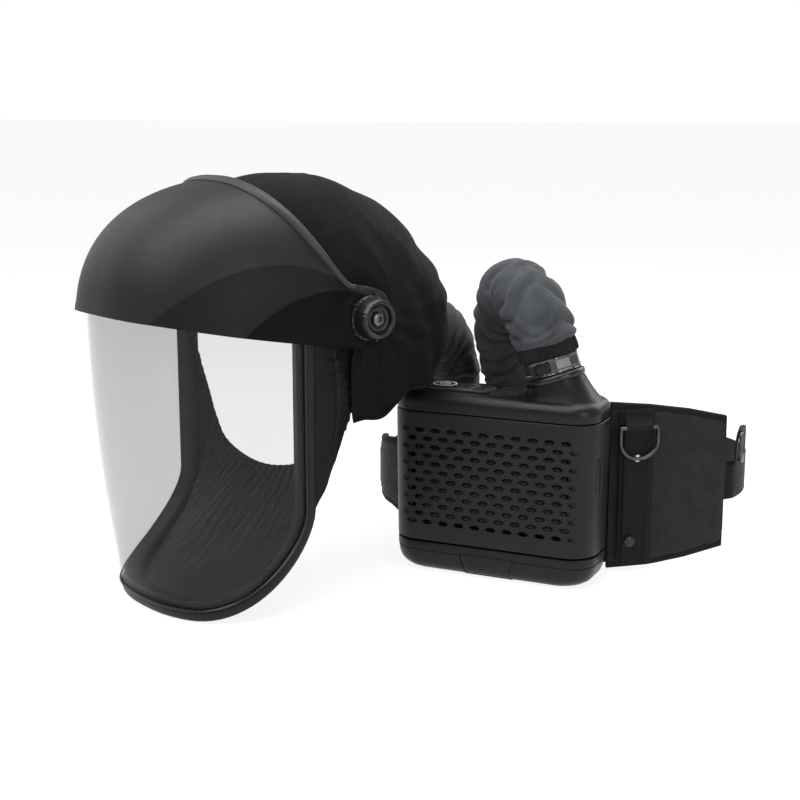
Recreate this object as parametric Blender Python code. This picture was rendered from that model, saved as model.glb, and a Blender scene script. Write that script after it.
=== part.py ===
"""Powered air respirator: visor headgear, belt-worn blower, sleeved hose and padded belt.

World frame: metres, +Z up. The origin is the middle of the blower's foot and the blower's
front faces -Y. The headgear stands on its chin rim in front of the blower's left end, in a
frame of its own (HELMET_AT, HELMET_TURN) whose origin is on the floor under the pivot axis:
front -y, wearer's left +x.
"""
import math

import bmesh
import bpy
from mathutils import Matrix, Vector

MM = 0.001
GAP = 0.3 * MM

# ---- driving dimensions -------------------------------------------------------------------
BLOWER_W, BLOWER_D, BLOWER_R = 204 * MM, 76 * MM, 27 * MM
BATTERY_H = 30 * MM
COVER_TOP = 157 * MM
SPLIT_Y = -2 * MM
WALL = 2.8 * MM

NECK_AT = (60 * MM, 0.0, 170 * MM)
NECK_LEAN = math.radians(18)

HELMET_AT = (-176 * MM, -83 * MM, 0.0)
HELMET_TURN = math.radians(-26)
PIVOT_Z = 259 * MM
PIVOT_AT = (0.0, 0.0, PIVOT_Z)
EAR_X = 111 * MM
SHELL_CENTRE = Vector((0, -22 * MM, 243 * MM))
SHELL_SEMI = Vector((112 * MM, 186 * MM, 137 * MM))
SHELL_POWER = 2.6
SHELL_WALL = 2.6 * MM

VISOR_HALF = 104 * MM
VISOR_SIDE = 64 * MM
VISOR_REACH = 199 * MM
VISOR_TAPER = 26 * MM
VISOR_POWER = 2.4
VISOR_TOP, VISOR_BOTTOM = 278 * MM, 12 * MM
VISOR_CORNER, VISOR_CORNER_RUN = 82 * MM, 108 * MM
VISOR_ARC = 165 * MM
LENS_THICK = 1.6 * MM
FRAME_TOP, FRAME_DEPTH = 252 * MM, 18 * MM

HOSE_D = 55 * MM
HOSE_ROUTE = [
    (-118.1, 35.6, 224), (-106.3, 60, 224), (-97, 83, 207), (-97, 104, 170), (-106, 122, 134),
    (-120, 140, 96), (-126, 162, 58), (-116, 192, 34), (-88, 212, 30), (-48, 214, 30),
    (-12, 194, 36), (2, 164, 58), (-4, 132, 98), (-18, 108, 146), (-30, 94, 194),
    (-28, 76, 236), (-10, 44, 264), (14, 14, 268), (34.3, 0, 248.9), (43.3, 0, 221.3),
]

WEB_T = 2.2 * MM
RING_W = 42 * MM


# ---- modelling helpers --------------------------------------------------------------------
def clear_scene():
    for obj in list(bpy.data.objects):
        bpy.data.objects.remove(obj, do_unlink=True)


def finish(name, colour, roughness, metallic=0.0, alpha=1.0):
    mat = bpy.data.materials.new(name)
    mat.use_nodes = True
    shader = mat.node_tree.nodes["Principled BSDF"]
    shader.inputs["Base Color"].default_value = (*colour, 1)
    shader.inputs["Roughness"].default_value = roughness
    shader.inputs["Metallic"].default_value = metallic
    shader.inputs["Alpha"].default_value = alpha
    return mat


def solid(name, verts, faces, mat, parent=None, at=None, smooth=False):
    """A closed mesh object; at= moves its origin there, in the parent's frame."""
    origin = Vector(at) if at is not None else Vector((0, 0, 0))
    mesh = bpy.data.meshes.new(name)
    mesh.from_pydata([Vector(v) - origin for v in verts], [], faces)
    mesh.validate()
    bm = bmesh.new()
    bm.from_mesh(mesh)
    bmesh.ops.remove_doubles(bm, verts=bm.verts, dist=1e-6)
    bmesh.ops.recalc_face_normals(bm, faces=bm.faces)
    bm.to_mesh(mesh)
    bm.free()
    if smooth:
        mesh.shade_smooth()
        mesh.set_sharp_from_angle(angle=math.radians(35))
    mesh.materials.append(mat)
    obj = bpy.data.objects.new(name, mesh)
    obj.location = origin
    obj.parent = parent
    bpy.context.scene.collection.objects.link(obj)
    return obj


def loft(rings, loop=False):
    """Join rings of equal length; the ends are capped unless the rings close on themselves."""
    size = len(rings[0])
    verts = [p for ring in rings for p in ring]
    faces = []
    spans = len(rings) if loop else len(rings) - 1
    for i in range(spans):
        a, b = i * size, ((i + 1) % len(rings)) * size
        for j in range(size):
            k = (j + 1) % size
            faces.append((a + j, a + k, b + k, b + j))
    if not loop:
        faces.append(tuple(reversed(range(size))))
        faces.append(tuple(range((len(rings) - 1) * size, len(rings) * size)))
    return verts, faces


def rounded_rect(width, depth, radius, steps=4):
    """Outline (x, y) of a rounded rectangle about the origin, counter-clockwise."""
    points = []
    corners = ((1, 1, 0), (-1, 1, 90), (-1, -1, 180), (1, -1, 270))
    for sx, sy, start in corners:
        cx, cy = sx * (width / 2 - radius), sy * (depth / 2 - radius)
        for i in range(steps + 1):
            a = math.radians(start + 90 * i / steps)
            points.append((cx + radius * math.cos(a), cy + radius * math.sin(a)))
    return points


def half_case(width, depth, radius, front, edge, steps=5):
    """Outline of the case's front or rear half, from y = edge round the two corners."""
    side = -1 if front else 1
    points = [(-width / 2, edge)]
    for sx, start in ((-1, 0), (1, 90)):
        cx, cy = sx * (width / 2 - radius), side * (depth / 2 - radius)
        for i in range(steps + 1):
            a = math.radians(start + 90 * i / steps)
            points.append((cx - radius * math.cos(a), cy + side * radius * math.sin(a)))
    points.append((width / 2, edge))
    return points


def level(outline, z):
    return [(x, y, z) for x, y in outline]


def prism(outline, z0, z1):
    return loft([level(outline, z0), level(outline, z1)])


def circle(radius, z, sides, turn=0.0):
    step = 2 * math.pi / sides
    return [(radius * math.cos(turn + i * step), radius * math.sin(turn + i * step), z)
            for i in range(sides)]


def turned(profile, sides):
    """Turn (radius, z) pairs about z: a disc or cone, closed by flat caps."""
    return loft([circle(r, z, sides) for r, z in profile])


def turned_ring(profile, sides):
    """Turn a closed (radius, z) outline about z into a ring with a hole."""
    rings = []
    for i in range(sides):
        a = 2 * math.pi * i / sides
        rings.append([(r * math.cos(a), r * math.sin(a), z) for r, z in profile])
    return loft(rings, loop=True)


def along(verts, axis, at):
    """Stand a shape made about z on another axis, moved to a place."""
    turn = Vector((0, 0, 1)).rotation_difference(Vector(axis)).to_matrix()
    return [turn @ Vector(v) + Vector(at) for v in verts]


def slab(grid, normals, inner, outer):
    """A curved plate between two offsets of a grid of points along its normals."""
    rows, cols = len(grid), len(grid[0])
    verts, faces = [], []
    for offset in (outer, inner):
        verts += [grid[i][j] + normals[i][j] * offset for i in range(rows) for j in range(cols)]
    layer = rows * cols
    for i in range(rows - 1):
        for j in range(cols - 1):
            a = i * cols + j
            quad = (a, a + 1, a + cols + 1, a + cols)
            faces.append(quad)
            faces.append(tuple(reversed([v + layer for v in quad])))
    rim = [j for j in range(cols)]
    rim += [i * cols + cols - 1 for i in range(1, rows)]
    rim += [(rows - 1) * cols + j for j in range(cols - 2, -1, -1)]
    rim += [i * cols for i in range(rows - 2, 0, -1)]
    for a, b in zip(rim, rim[1:] + rim[:1]):
        faces.append((a, a + layer, b + layer, b))
    return verts, faces


def grid_normals(grid, away_from):
    """Unit normals of a grid of points, pointing away from a place."""
    rows, cols = len(grid), len(grid[0])
    normals = []
    for i in range(rows):
        line = []
        for j in range(cols):
            du = grid[min(i + 1, rows - 1)][j] - grid[max(i - 1, 0)][j]
            dv = grid[i][min(j + 1, cols - 1)] - grid[i][max(j - 1, 0)]
            n = du.cross(dv).normalized()
            if n.dot(grid[i][j] - away_from) < 0:
                n = -n
            line.append(n)
        normals.append(line)
    return normals


def smooth_curve(points, count):
    """Points evenly spaced along a Catmull-Rom curve through the given points."""
    pts = [Vector(p) for p in points]
    ends = [pts[0] * 2 - pts[1]] + pts + [pts[-1] * 2 - pts[-2]]
    fine = []
    for i in range(1, len(ends) - 2):
        for k in range(24):
            t = k / 24
            p0, p1, p2, p3 = ends[i - 1:i + 3]
            fine.append(0.5 * (2 * p1 + (p2 - p0) * t + (2 * p0 - 5 * p1 + 4 * p2 - p3) * t * t
                               + (3 * p1 - p0 - 3 * p2 + p3) * t ** 3))
    fine.append(pts[-1])
    run = [0.0]
    for a, b in zip(fine, fine[1:]):
        run.append(run[-1] + (b - a).length)
    result, k = [], 0
    for i in range(count):
        want = run[-1] * i / (count - 1)
        while k < len(run) - 2 and run[k + 1] < want:
            k += 1
        share = (want - run[k]) / max(run[k + 1] - run[k], 1e-9)
        result.append(fine[k].lerp(fine[k + 1], share))
    return result


def boolean(target, tool, operation):
    tool.hide_render = True
    tool.display_type = "WIRE"
    mod = target.modifiers.new(operation.lower(), "BOOLEAN")
    mod.operation = operation
    mod.object = tool
    return target


def cut(target, tool):
    return boolean(target, tool, "DIFFERENCE")


def join(target, tool):
    return boolean(target, tool, "UNION")


def box(name, low, high, mat, parent=None, radius=0.0, at=None):
    """A box, with its upright edges rounded when a radius is given."""
    mid = [(a + b) / 2 for a, b in zip(low, high)]
    w, d = high[0] - low[0], high[1] - low[1]
    outline = rounded_rect(w, d, radius, 3) if radius else [
        (w / 2, d / 2), (-w / 2, d / 2), (-w / 2, -d / 2), (w / 2, -d / 2)]
    verts, faces = prism([(x + mid[0], y + mid[1]) for x, y in outline], low[2], high[2])
    return solid(name, verts, faces, mat, parent, at)


def frame_empty(name, at, rotation):
    empty = bpy.data.objects.new(name, None)
    empty.location = at
    empty.rotation_euler = rotation
    bpy.context.scene.collection.objects.link(empty)
    return empty


# ---- headgear surfaces, in the helmet's frame -----------------------------------------------
def on_shell(direction, lift=0.0):
    """Where a ray from the shell's centre meets its outer surface, plus a lift along it."""
    d = direction.normalized()
    total = sum((abs(d[i]) / SHELL_SEMI[i]) ** SHELL_POWER for i in range(3))
    return SHELL_CENTRE + d * (total ** (-1 / SHELL_POWER) + lift)


def mirrored(half):
    """A left half, ending on the middle plane, followed by its mirror image."""
    return half + [(-x, y, z) for x, y, z in reversed(half[:-1])]


BROW_EDGE = mirrored([(111, 27, 257), (111.5, 13, 237), (111, -8, 232), (109, -45, 238),
                      (98, -100, 248), (72, -155, 259), (36, -188, 265), (0, -200, 267)])
CROWN_EDGE = mirrored([(111, 27, 259), (110.5, 18, 279), (109.5, -3, 287), (107, -21, 291),
                       (100, -38, 312), (80, -58, 342), (45, -74, 365), (0, -81, 378)])


def shell_patch(across, u0, u1, v0, v1, along_count):
    """Grid on the shell between the brow edge (v=0) and the crown edge (v=1)."""
    brow = smooth_curve([[c * MM for c in p] for p in BROW_EDGE], 201)
    crown = smooth_curve([[c * MM for c in p] for p in CROWN_EDGE], 201)
    grid = []
    for i in range(along_count + 1):
        k = round(200 * (u0 + (u1 - u0) * i / along_count))
        a, b = brow[k] - SHELL_CENTRE, crown[k] - SHELL_CENTRE
        row = []
        for j in range(across + 1):
            v = v0 + (v1 - v0) * j / across
            row.append(on_shell(a.normalized().slerp(b.normalized(), v) if (a - b).length > 1e-4
                                else a))
        grid.append(row)
    return grid


def visor_point(t, z):
    """Lens surface: t runs from -1 (wearer's right edge) to 1 (left edge)."""
    a = t * math.pi / 2
    full = 2 / VISOR_POWER
    drop = (0.266 - z) / 0.25
    reach = VISOR_REACH - VISOR_TAPER * drop * abs(drop)
    y = -(VISOR_SIDE + (reach - VISOR_SIDE) * max(math.cos(a), 0) ** full)
    return Vector((VISOR_HALF * math.copysign(abs(math.sin(a)) ** full, a), y, z))


def visor_normal(t, z):
    """Unit normal of the lens, pointing in towards the face."""
    du = visor_point(t + 0.01, z) - visor_point(t - 0.01, z)
    dz = visor_point(t, z + 0.001) - visor_point(t, z - 0.001)
    return du.cross(dz).normalized() * -1


def visor_limit(z):
    """How far round the lens reaches at a height: the lower corners are rounded."""
    rise = VISOR_BOTTOM + VISOR_CORNER - z
    if rise <= 0:
        return 1.0
    inset = 1 - math.sqrt(max(1 - (rise / VISOR_CORNER) ** 2, 0))
    return 1 - inset * VISOR_CORNER_RUN / VISOR_ARC


def visor_outline(top, corner_steps=8, side_steps=5, bottom_steps=8):
    """The lens's U-shaped edge as (t, z), from the left top round the chin to the right top."""
    base = VISOR_BOTTOM + VISOR_CORNER
    side = [(1.0, top + (base - top) * i / side_steps) for i in range(side_steps)]
    for i in range(corner_steps + 1):
        a = math.pi / 2 * i / corner_steps
        side.append((1 - VISOR_CORNER_RUN * (1 - math.cos(a)) / VISOR_ARC,
                     base - VISOR_CORNER * math.sin(a)))
    end_t = side[-1][0]
    bottom = [(end_t * (1 - 2 * i / bottom_steps), VISOR_BOTTOM) for i in range(1, bottom_steps)]
    return side + bottom + [(-t, z) for t, z in reversed(side)]


def visor_sweep(top, profile):
    """Sweep (outward, inward) offsets, in metres, round the lens's edge."""
    outline = visor_outline(top)
    points = [visor_point(t, z) for t, z in outline]
    rings = []
    for i, (t, z) in enumerate(outline):
        tangent = (points[min(i + 1, len(points) - 1)] - points[max(i - 1, 0)]).normalized()
        inward = visor_normal(t, z)
        outward = tangent.cross(inward).normalized()
        if outward.dot(points[i] - Vector((0, -150 * MM, 170 * MM))) < 0:
            outward = -outward
        rings.append([points[i] + outward * a + inward * b for a, b in profile])
    return rings


# ---- headgear ---------------------------------------------------------------------------------
def make_visor(mats, helmet):
    grid = shell_patch(8, 0, 1, 0, 1, 40)
    verts, faces = slab(grid, grid_normals(grid, SHELL_CENTRE), -SHELL_WALL, 0)
    solid("brow_shell", verts, faces, mats["shell"], helmet, at=PIVOT_AT, smooth=True)

    grid = shell_patch(2, 0.14, 0.86, 0.93, 1.0, 32)
    verts, faces = slab(grid, grid_normals(grid, SHELL_CENTRE), GAP, 3 * MM)
    solid("crown_trim", verts, faces, mats["trim"], helmet, at=PIVOT_AT, smooth=True)

    cols, base = 16, VISOR_BOTTOM + VISOR_CORNER
    heights = [base - VISOR_CORNER * math.cos(math.pi / 16 * i) for i in range(9)]
    heights += [base + (VISOR_TOP - base) * i / 5 for i in range(1, 6)]
    grid = []
    for z in heights:
        limit = visor_limit(z)
        grid.append([visor_point(limit * (1 - 2 * j / cols), z) for j in range(cols + 1)])
    normals = [[visor_normal(visor_limit(row[0].z) * (1 - 2 * j / cols), row[0].z)
                for j in range(cols + 1)] for row in grid]
    verts, faces = slab(grid, normals, 0, LENS_THICK)
    solid("visor_lens", verts, faces, mats["lens"], helmet, at=PIVOT_AT, smooth=True)

    behind = LENS_THICK + 4 * GAP
    profile = [(-6 * MM, behind), (2 * MM, behind), (2 * MM, -1 * MM), (11 * MM, -0.5 * MM),
               (13 * MM, 6 * MM), (10 * MM, FRAME_DEPTH), (-1 * MM, FRAME_DEPTH)]
    verts, faces = loft(visor_sweep(FRAME_TOP, profile))
    solid("visor_frame", verts, faces, mats["frame"], helmet, at=PIVOT_AT, smooth=True)

    turns = [1 - 2 * j / cols for j in range(2, cols - 1)]
    grid = [[visor_point(t, z) for z in (270 * MM, 282 * MM)] for t in turns]
    normals = [[visor_normal(t, 276 * MM)] * 2 for t in turns]
    verts, faces = slab(grid, normals, LENS_THICK + 3 * GAP, 7 * MM)
    solid("brow_seal", verts, faces, mats["foam"], helmet, at=PIVOT_AT)


FACE_EDGE = [(84, -4, 232), (86, 2, 205), (85, 0, 175), (78, -10, 145), (50, -30, 120),
             (0, -42, 112), (-50, -46, 124), (-72, -46, 146), (-78, -50, 172), (-79, -58, 202),
             (-79, -66, 232)]


def make_face_seal(mats, helmet):
    """Cloth from the visor frame's back edge to the elastic round the face."""
    places = [(8 * MM, FRAME_DEPTH + 3 * MM), (12 * MM, FRAME_DEPTH + 2.5 * MM),
              (15 * MM, FRAME_DEPTH - 6 * MM)]
    front = []
    for chin, corner, side in visor_sweep(FRAME_TOP, places):
        rise = min(max((chin.z - 15 * MM) / (70 * MM), 0), 1)
        if rise < 0.5:
            front.append(chin.lerp(corner, 2 * rise))
        else:
            front.append(corner.lerp(side, (2 * rise - 1) * (corner.x > 0)))
    elastic = smooth_curve([[c * MM for c in p] for p in FACE_EDGE], len(front))
    grid = []
    for a, b in zip(front, elastic):
        row = []
        for k in range(5):
            v = k / 4
            p = a.lerp(b, v)
            bulge = math.sin(math.pi * v) * 6 * MM * min(max(0.5 + p.x / (80 * MM), 0), 1)
            away = Vector((p.x * 0.9, 0, min(p.z - 0.15, 0) * 0.8))
            row.append(p + away.normalized() * bulge)
        grid.append(row)
    verts, faces = slab(grid, grid_normals(grid, Vector((0, -70 * MM, 200 * MM))), -2 * MM, 0)
    solid("face_seal", verts, faces, mats["seal"], helmet, smooth=True)


HOOD_REACH = [(48, 131), (60, 128), (90, 121), (120, 118), (150, 125), (170, 142), (180, 151),
              (200, 160), (220, 157), (245, 148), (285, 140)]
HOOD_HALF = 101 * MM
HOOD_POWER = 2.5
HOOD_SPLIT = 180.0
HOOD_ARCH = math.radians(18)
HOOD_HEM, HOOD_HEM_SIDE = 75 * MM, 97 * MM


def hood_reach(angle):
    """The hood's distance from the pivot axis; the angle runs from the front over the top."""
    for (a0, r0), (a1, r1) in zip(HOOD_REACH, HOOD_REACH[1:]):
        if angle <= a1:
            share = (angle - a0) / (a1 - a0)
            share = share * share * (3 - 2 * share)
            return (r0 + (r1 - r0) * share) * MM
    return HOOD_REACH[-1][1] * MM


def hood_point(angle, tilt):
    """A point of the hood: a slice through the pivot axis, and how far round that slice."""
    a = math.radians(angle)
    power = 2 / HOOD_POWER
    reach = hood_reach(angle) * math.cos(tilt) ** power
    x = HOOD_HALF * math.copysign(abs(math.sin(tilt)) ** power, tilt)
    return Vector((x, -reach * math.cos(a), PIVOT_Z + reach * math.sin(a)))


def make_hood(mats, helmet):
    """A cloth hood: whole over the crown, open over the hose, with a flap on the left."""
    ear = math.radians(84)
    far_cols, near_cols = 11, 8
    tilts = [-ear + (HOOD_ARCH + ear) * i / far_cols for i in range(far_cols)]
    tilts += [HOOD_ARCH + (ear - HOOD_ARCH) * i / near_cols for i in range(near_cols + 1)]
    crown_rows, flap_rows = 12, 8
    bm = bmesh.new()
    rows = []
    for i in range(crown_rows + 1):
        angle = 49 + (HOOD_SPLIT - 49) * i / crown_rows
        rows.append([bm.verts.new(hood_point(angle, t)) for t in tilts])
    flap = [rows[-1][far_cols:]]
    for i in range(1, flap_rows + 1):
        angle = HOOD_SPLIT + (268 - HOOD_SPLIT) * i / flap_rows
        drop = HOOD_HEM + (HOOD_HEM_SIDE - HOOD_HEM) * min(max((angle - 232) / 14, 0), 1)
        share = min(drop / math.sin(math.radians(angle - 180)) / hood_reach(angle), 1)
        low = max(HOOD_ARCH, math.acos(share ** (HOOD_POWER / 2)))
        lean = 18 * (i / flap_rows) ** 3
        flap.append([bm.verts.new(hood_point(angle + lean * j / near_cols,
                                             low + (ear - low) * j / near_cols))
                     for j in range(near_cols + 1)])
    for block in (rows, flap):
        for a, b in zip(block, block[1:]):
            for j in range(len(a) - 1):
                bm.faces.new((a[j], a[j + 1], b[j + 1], b[j]))
    bmesh.ops.recalc_face_normals(bm, faces=bm.faces)
    mesh = bpy.data.meshes.new("hood")
    bm.to_mesh(mesh)
    bm.free()
    mesh.shade_smooth()
    mesh.materials.append(mats["hood"])
    hood = bpy.data.objects.new("hood", mesh)
    hood.parent = helmet
    bpy.context.scene.collection.objects.link(hood)
    thick = hood.modifiers.new("thickness", "SOLIDIFY")
    thick.thickness = 2.2 * MM
    thick.offset = 0
    return hood


def band_outline(half_w, half_l, radius, offset):
    """A headband outline, open at the nape, from the left end round the brow to the right."""
    points = [(14 * MM, 96 * MM + offset)]
    cy = 4 * MM
    for sx, sy, start in ((1, 1, 90), (1, -1, 0), (-1, -1, -90), (-1, 1, -180)):
        x0, y0 = sx * (half_w - radius), cy + sy * (half_l - radius)
        for i in range(5):
            a = math.radians(start - 90 * i / 4)
            points.append((x0 + (radius + offset) * math.cos(a),
                           y0 + (radius + offset) * math.sin(a)))
    points.append((-14 * MM, 96 * MM + offset))
    return points


def make_headgear(mats, helmet):
    inner = band_outline(76 * MM, 92 * MM, 46 * MM, 0)
    outer = band_outline(76 * MM, 92 * MM, 46 * MM, 1.8 * MM)
    outline = outer + list(reversed(inner))
    verts, faces = prism(outline, 272 * MM, 294 * MM)
    solid("headband", verts, faces, mats["gear"], helmet)

    arch = []
    for i in range(17):
        a = math.radians(10 + 160 * i / 16)
        c, s = math.cos(a), math.sin(a)
        arch.append([(r * c, y, 284 * MM + h * s) for r, h, y in (
            (72 * MM, 66 * MM, -8 * MM), (73.6 * MM, 67.6 * MM, -8 * MM),
            (73.6 * MM, 67.6 * MM, 14 * MM), (72 * MM, 66 * MM, 14 * MM))])
    verts, faces = loft(arch)
    solid("crown_strap", verts, faces, mats["gear"], helmet)

    pad = []
    for i in range(15):
        a = math.radians(-155 + 130 * i / 14)
        pad.append([(r * math.cos(a) * 0.98, 4 * MM + (r + 16 * MM) * math.sin(a), z)
                    for r, z in ((74 * MM, 270 * MM), (74 * MM, 296 * MM), (70 * MM, 293 * MM),
                                 (70 * MM, 273 * MM))])
    verts, faces = loft(pad)
    solid("sweatband", verts, faces, mats["foam"], helmet)

    box("nape_pad", (-34 * MM, 88 * MM, 269 * MM), (34 * MM, 95.4 * MM, 297 * MM), mats["foam"],
        helmet, 3 * MM)
    cover = box("ratchet_cover", (-30 * MM, 100.4 * MM, 265 * MM), (30 * MM, 103.4 * MM, 301 * MM),
                mats["gear"], helmet)
    shaft_at = (0, 100 * MM, 283 * MM)
    verts, faces = turned([(6.4 * MM, -3 * MM), (6.4 * MM, 6 * MM)], 14)
    cut(cover, solid("shaft_hole", along(verts, (0, 1, 0), shaft_at), faces, mats["gear"], helmet))
    verts, faces = turned([(5.6 * MM, -2.4 * MM), (5.6 * MM, 3.2 * MM)], 12)
    solid("ratchet_pinion", along(verts, (0, 1, 0), shaft_at), faces, mats["gear"], helmet,
          at=shaft_at)
    verts, faces = turned([(17 * MM, 3.8 * MM), (17 * MM, 9 * MM), (15 * MM, 11 * MM)], 16)
    solid("ratchet_knob", along(verts, (0, 1, 0), shaft_at), faces, mats["gear"], helmet,
          at=shaft_at, smooth=True)
    for name, x0, x1, z0 in (("nape_band_left", -7, 32, 289.3), ("nape_band_right", -32, 7, 269.7)):
        box(name, (x0 * MM, 98.3 * MM, z0 * MM), (x1 * MM, 100 * MM, (z0 + 7) * MM),
            mats["gear"], helmet)


def make_pivots(mats, helmet):
    for side, sign in (("left", 1), ("right", -1)):
        at = (sign * 78.4 * MM, 0, PIVOT_Z)
        plate = [(-11, -12), (11, -12), (12, 30), (-12, 30)]
        rings = [[(sign * x * MM, y * MM, PIVOT_Z + z * MM) for y, z in plate]
                 for x in (78.4, 82)]
        verts, faces = loft(rings)
        arm = solid("pivot_arm_" + side, verts, faces, mats["gear"], helmet)
        verts, faces = turned([(11 * MM, 1 * MM), (11 * MM, 21 * MM), (9 * MM, 27 * MM)], 16)
        join(arm, solid("pivot_boss_" + side, along(verts, (sign, 0, 0), at), faces,
                        mats["gear"], helmet))
        face = (sign * (EAR_X + 1.2 * MM), 0, PIVOT_Z)
        rings = []
        for z, outer, dip in ((0, 20.5, 0), (4, 20.5, 0), (4.2, 19.5, 0.5), (15, 17, 1.6),
                              (17, 15.5, 0.6)):
            ring = []
            for i in range(20):
                a = math.radians(18 * i)
                r = (outer - (dip if i % 2 else 0)) * MM
                ring.append((r * math.cos(a), r * math.sin(a), z * MM))
            rings.append(ring)
        verts, faces = loft(rings)
        knob = solid("knob_" + side, along(verts, (sign, 0, 0), face), faces, mats["knob"],
                     helmet, at=face)
        verts, faces = turned([(11 * MM, 11 * MM), (11 * MM, 20 * MM)], 20)
        recess = solid("knob_recess_" + side, along(verts, (sign, 0, 0), face), faces,
                       mats["knob"], helmet)
        cut(knob, recess)
        verts, faces = turned([(6 * MM, 11.3 * MM), (6 * MM, 13.5 * MM), (4.5 * MM, 15 * MM)], 14)
        solid("knob_screw_" + side, along(verts, (sign, 0, 0), face), faces, mats["metal"],
              helmet, at=face, smooth=True)


def make_air_path(mats, helmet):
    route = smooth_curve([[0, y * MM, z * MM] for y, z in (
        (119, 262), (122, 281), (113, 304), (92, 327), (56, 351), (18, 366), (-26, 363),
        (-66, 343), (-88, 318))], 20)
    rings = []
    for i, p in enumerate(route):
        step = (route[min(i + 1, 19)] - route[max(i - 1, 0)]).normalized()
        across = Vector((1, 0, 0))
        up = across.cross(step).normalized()
        rings.append([p + across * x * MM + up * h * MM for x, h in (
            (-24, -4), (24, -4), (24, 2), (19, 4), (-19, 4), (-24, 2))])
    verts, faces = loft(rings)
    solid("air_duct", verts, faces, mats["gear"], helmet, smooth=True)

    verts, faces = loft([[(x * MM, y * MM, z * MM) for x, y in (
        (-w, -88), (w, -88), (w * 0.8, -100), (-w * 0.8, -100))]
        for w, z in ((46, 306), (46, 310), (40, 314))])
    solid("air_diffuser", verts, faces, mats["gear"], helmet)

    outline = rounded_rect(58 * MM, 58 * MM, 27 * MM, 4)
    rings = [[(x, y_at * MM, 229 * MM + h * k) for x, h in outline]
             for y_at, k in ((104, 0.9), (122, 1.0))]
    verts, faces = loft(rings)
    inlet = solid("hose_inlet", verts, faces, mats["gear"], helmet, smooth=True)
    verts, faces = turned([(25 * MM, 10 * MM), (25 * MM, 29.6 * MM)], 20)
    join(inlet, solid("inlet_spigot", along(verts, (0, 1, 0), (0, 100 * MM, 224 * MM)), faces,
                      mats["gear"], helmet))
    verts, faces = turned([(20 * MM, 12 * MM), (20 * MM, 40 * MM)], 20)
    cut(inlet, solid("inlet_bore", along(verts, (0, 1, 0), (0, 100 * MM, 224 * MM)), faces,
                     mats["gear"], helmet))


# ---- hose -----------------------------------------------------------------------------------------
def make_hose(mats):
    curve = bpy.data.curves.new("breathing_hose", "CURVE")
    curve.dimensions = "3D"
    curve.bevel_depth = HOSE_D / 2
    curve.bevel_resolution = 2
    curve.use_fill_caps = True
    curve.render_resolution_u = 0
    points = smooth_curve([[c * MM for c in p] for p in HOSE_ROUTE], 36)
    spline = curve.splines.new("POLY")
    spline.points.add(len(points) - 1)
    for spot, p in zip(spline.points, points):
        spot.co = (*p, 1)
    curve.materials.append(mats["sleeve"])
    hose = bpy.data.objects.new("breathing_hose", curve)
    bpy.context.scene.collection.objects.link(hose)


def make_outlet(mats, neck):
    """The rings between the cap's neck and the hose, on the neck's own leaning axis."""
    def ring(name, mat, inner, profile, sides=24, parent=neck):
        outline = [(inner * MM, profile[0][1] * MM)] + [(r * MM, z * MM) for r, z in profile]
        outline.append((inner * MM, profile[-1][1] * MM))
        verts, faces = turned_ring(outline, sides)
        return solid(name, verts, faces, mat, parent, smooth=True)

    ring("outlet_ring", mats["case"], 19, [(27.5, 22.3), (28.2, 24), (28.2, 27), (27, 28.6)])
    collar = ring("hose_connector", mats["collar"], 19,
                  [(25.5, 29), (26.6, 31), (26.6, 42), (25.2, 44.5)])
    pocket = box("button_pocket", (-7 * MM, -30 * MM, 33 * MM), (7 * MM, -23.3 * MM, 41 * MM),
                 mats["collar"], neck)
    cut(collar, pocket)
    box("connector_button", (-6.5 * MM, -27.6 * MM, 33.5 * MM),
        (6.5 * MM, -25.4 * MM, 40.5 * MM), mats["case"], neck)
    ring("hose_cuff_blower", mats["cuff"], 19, [(26.5, 44.9), (28, 46), (28, 50), (27, 51.6)])


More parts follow.
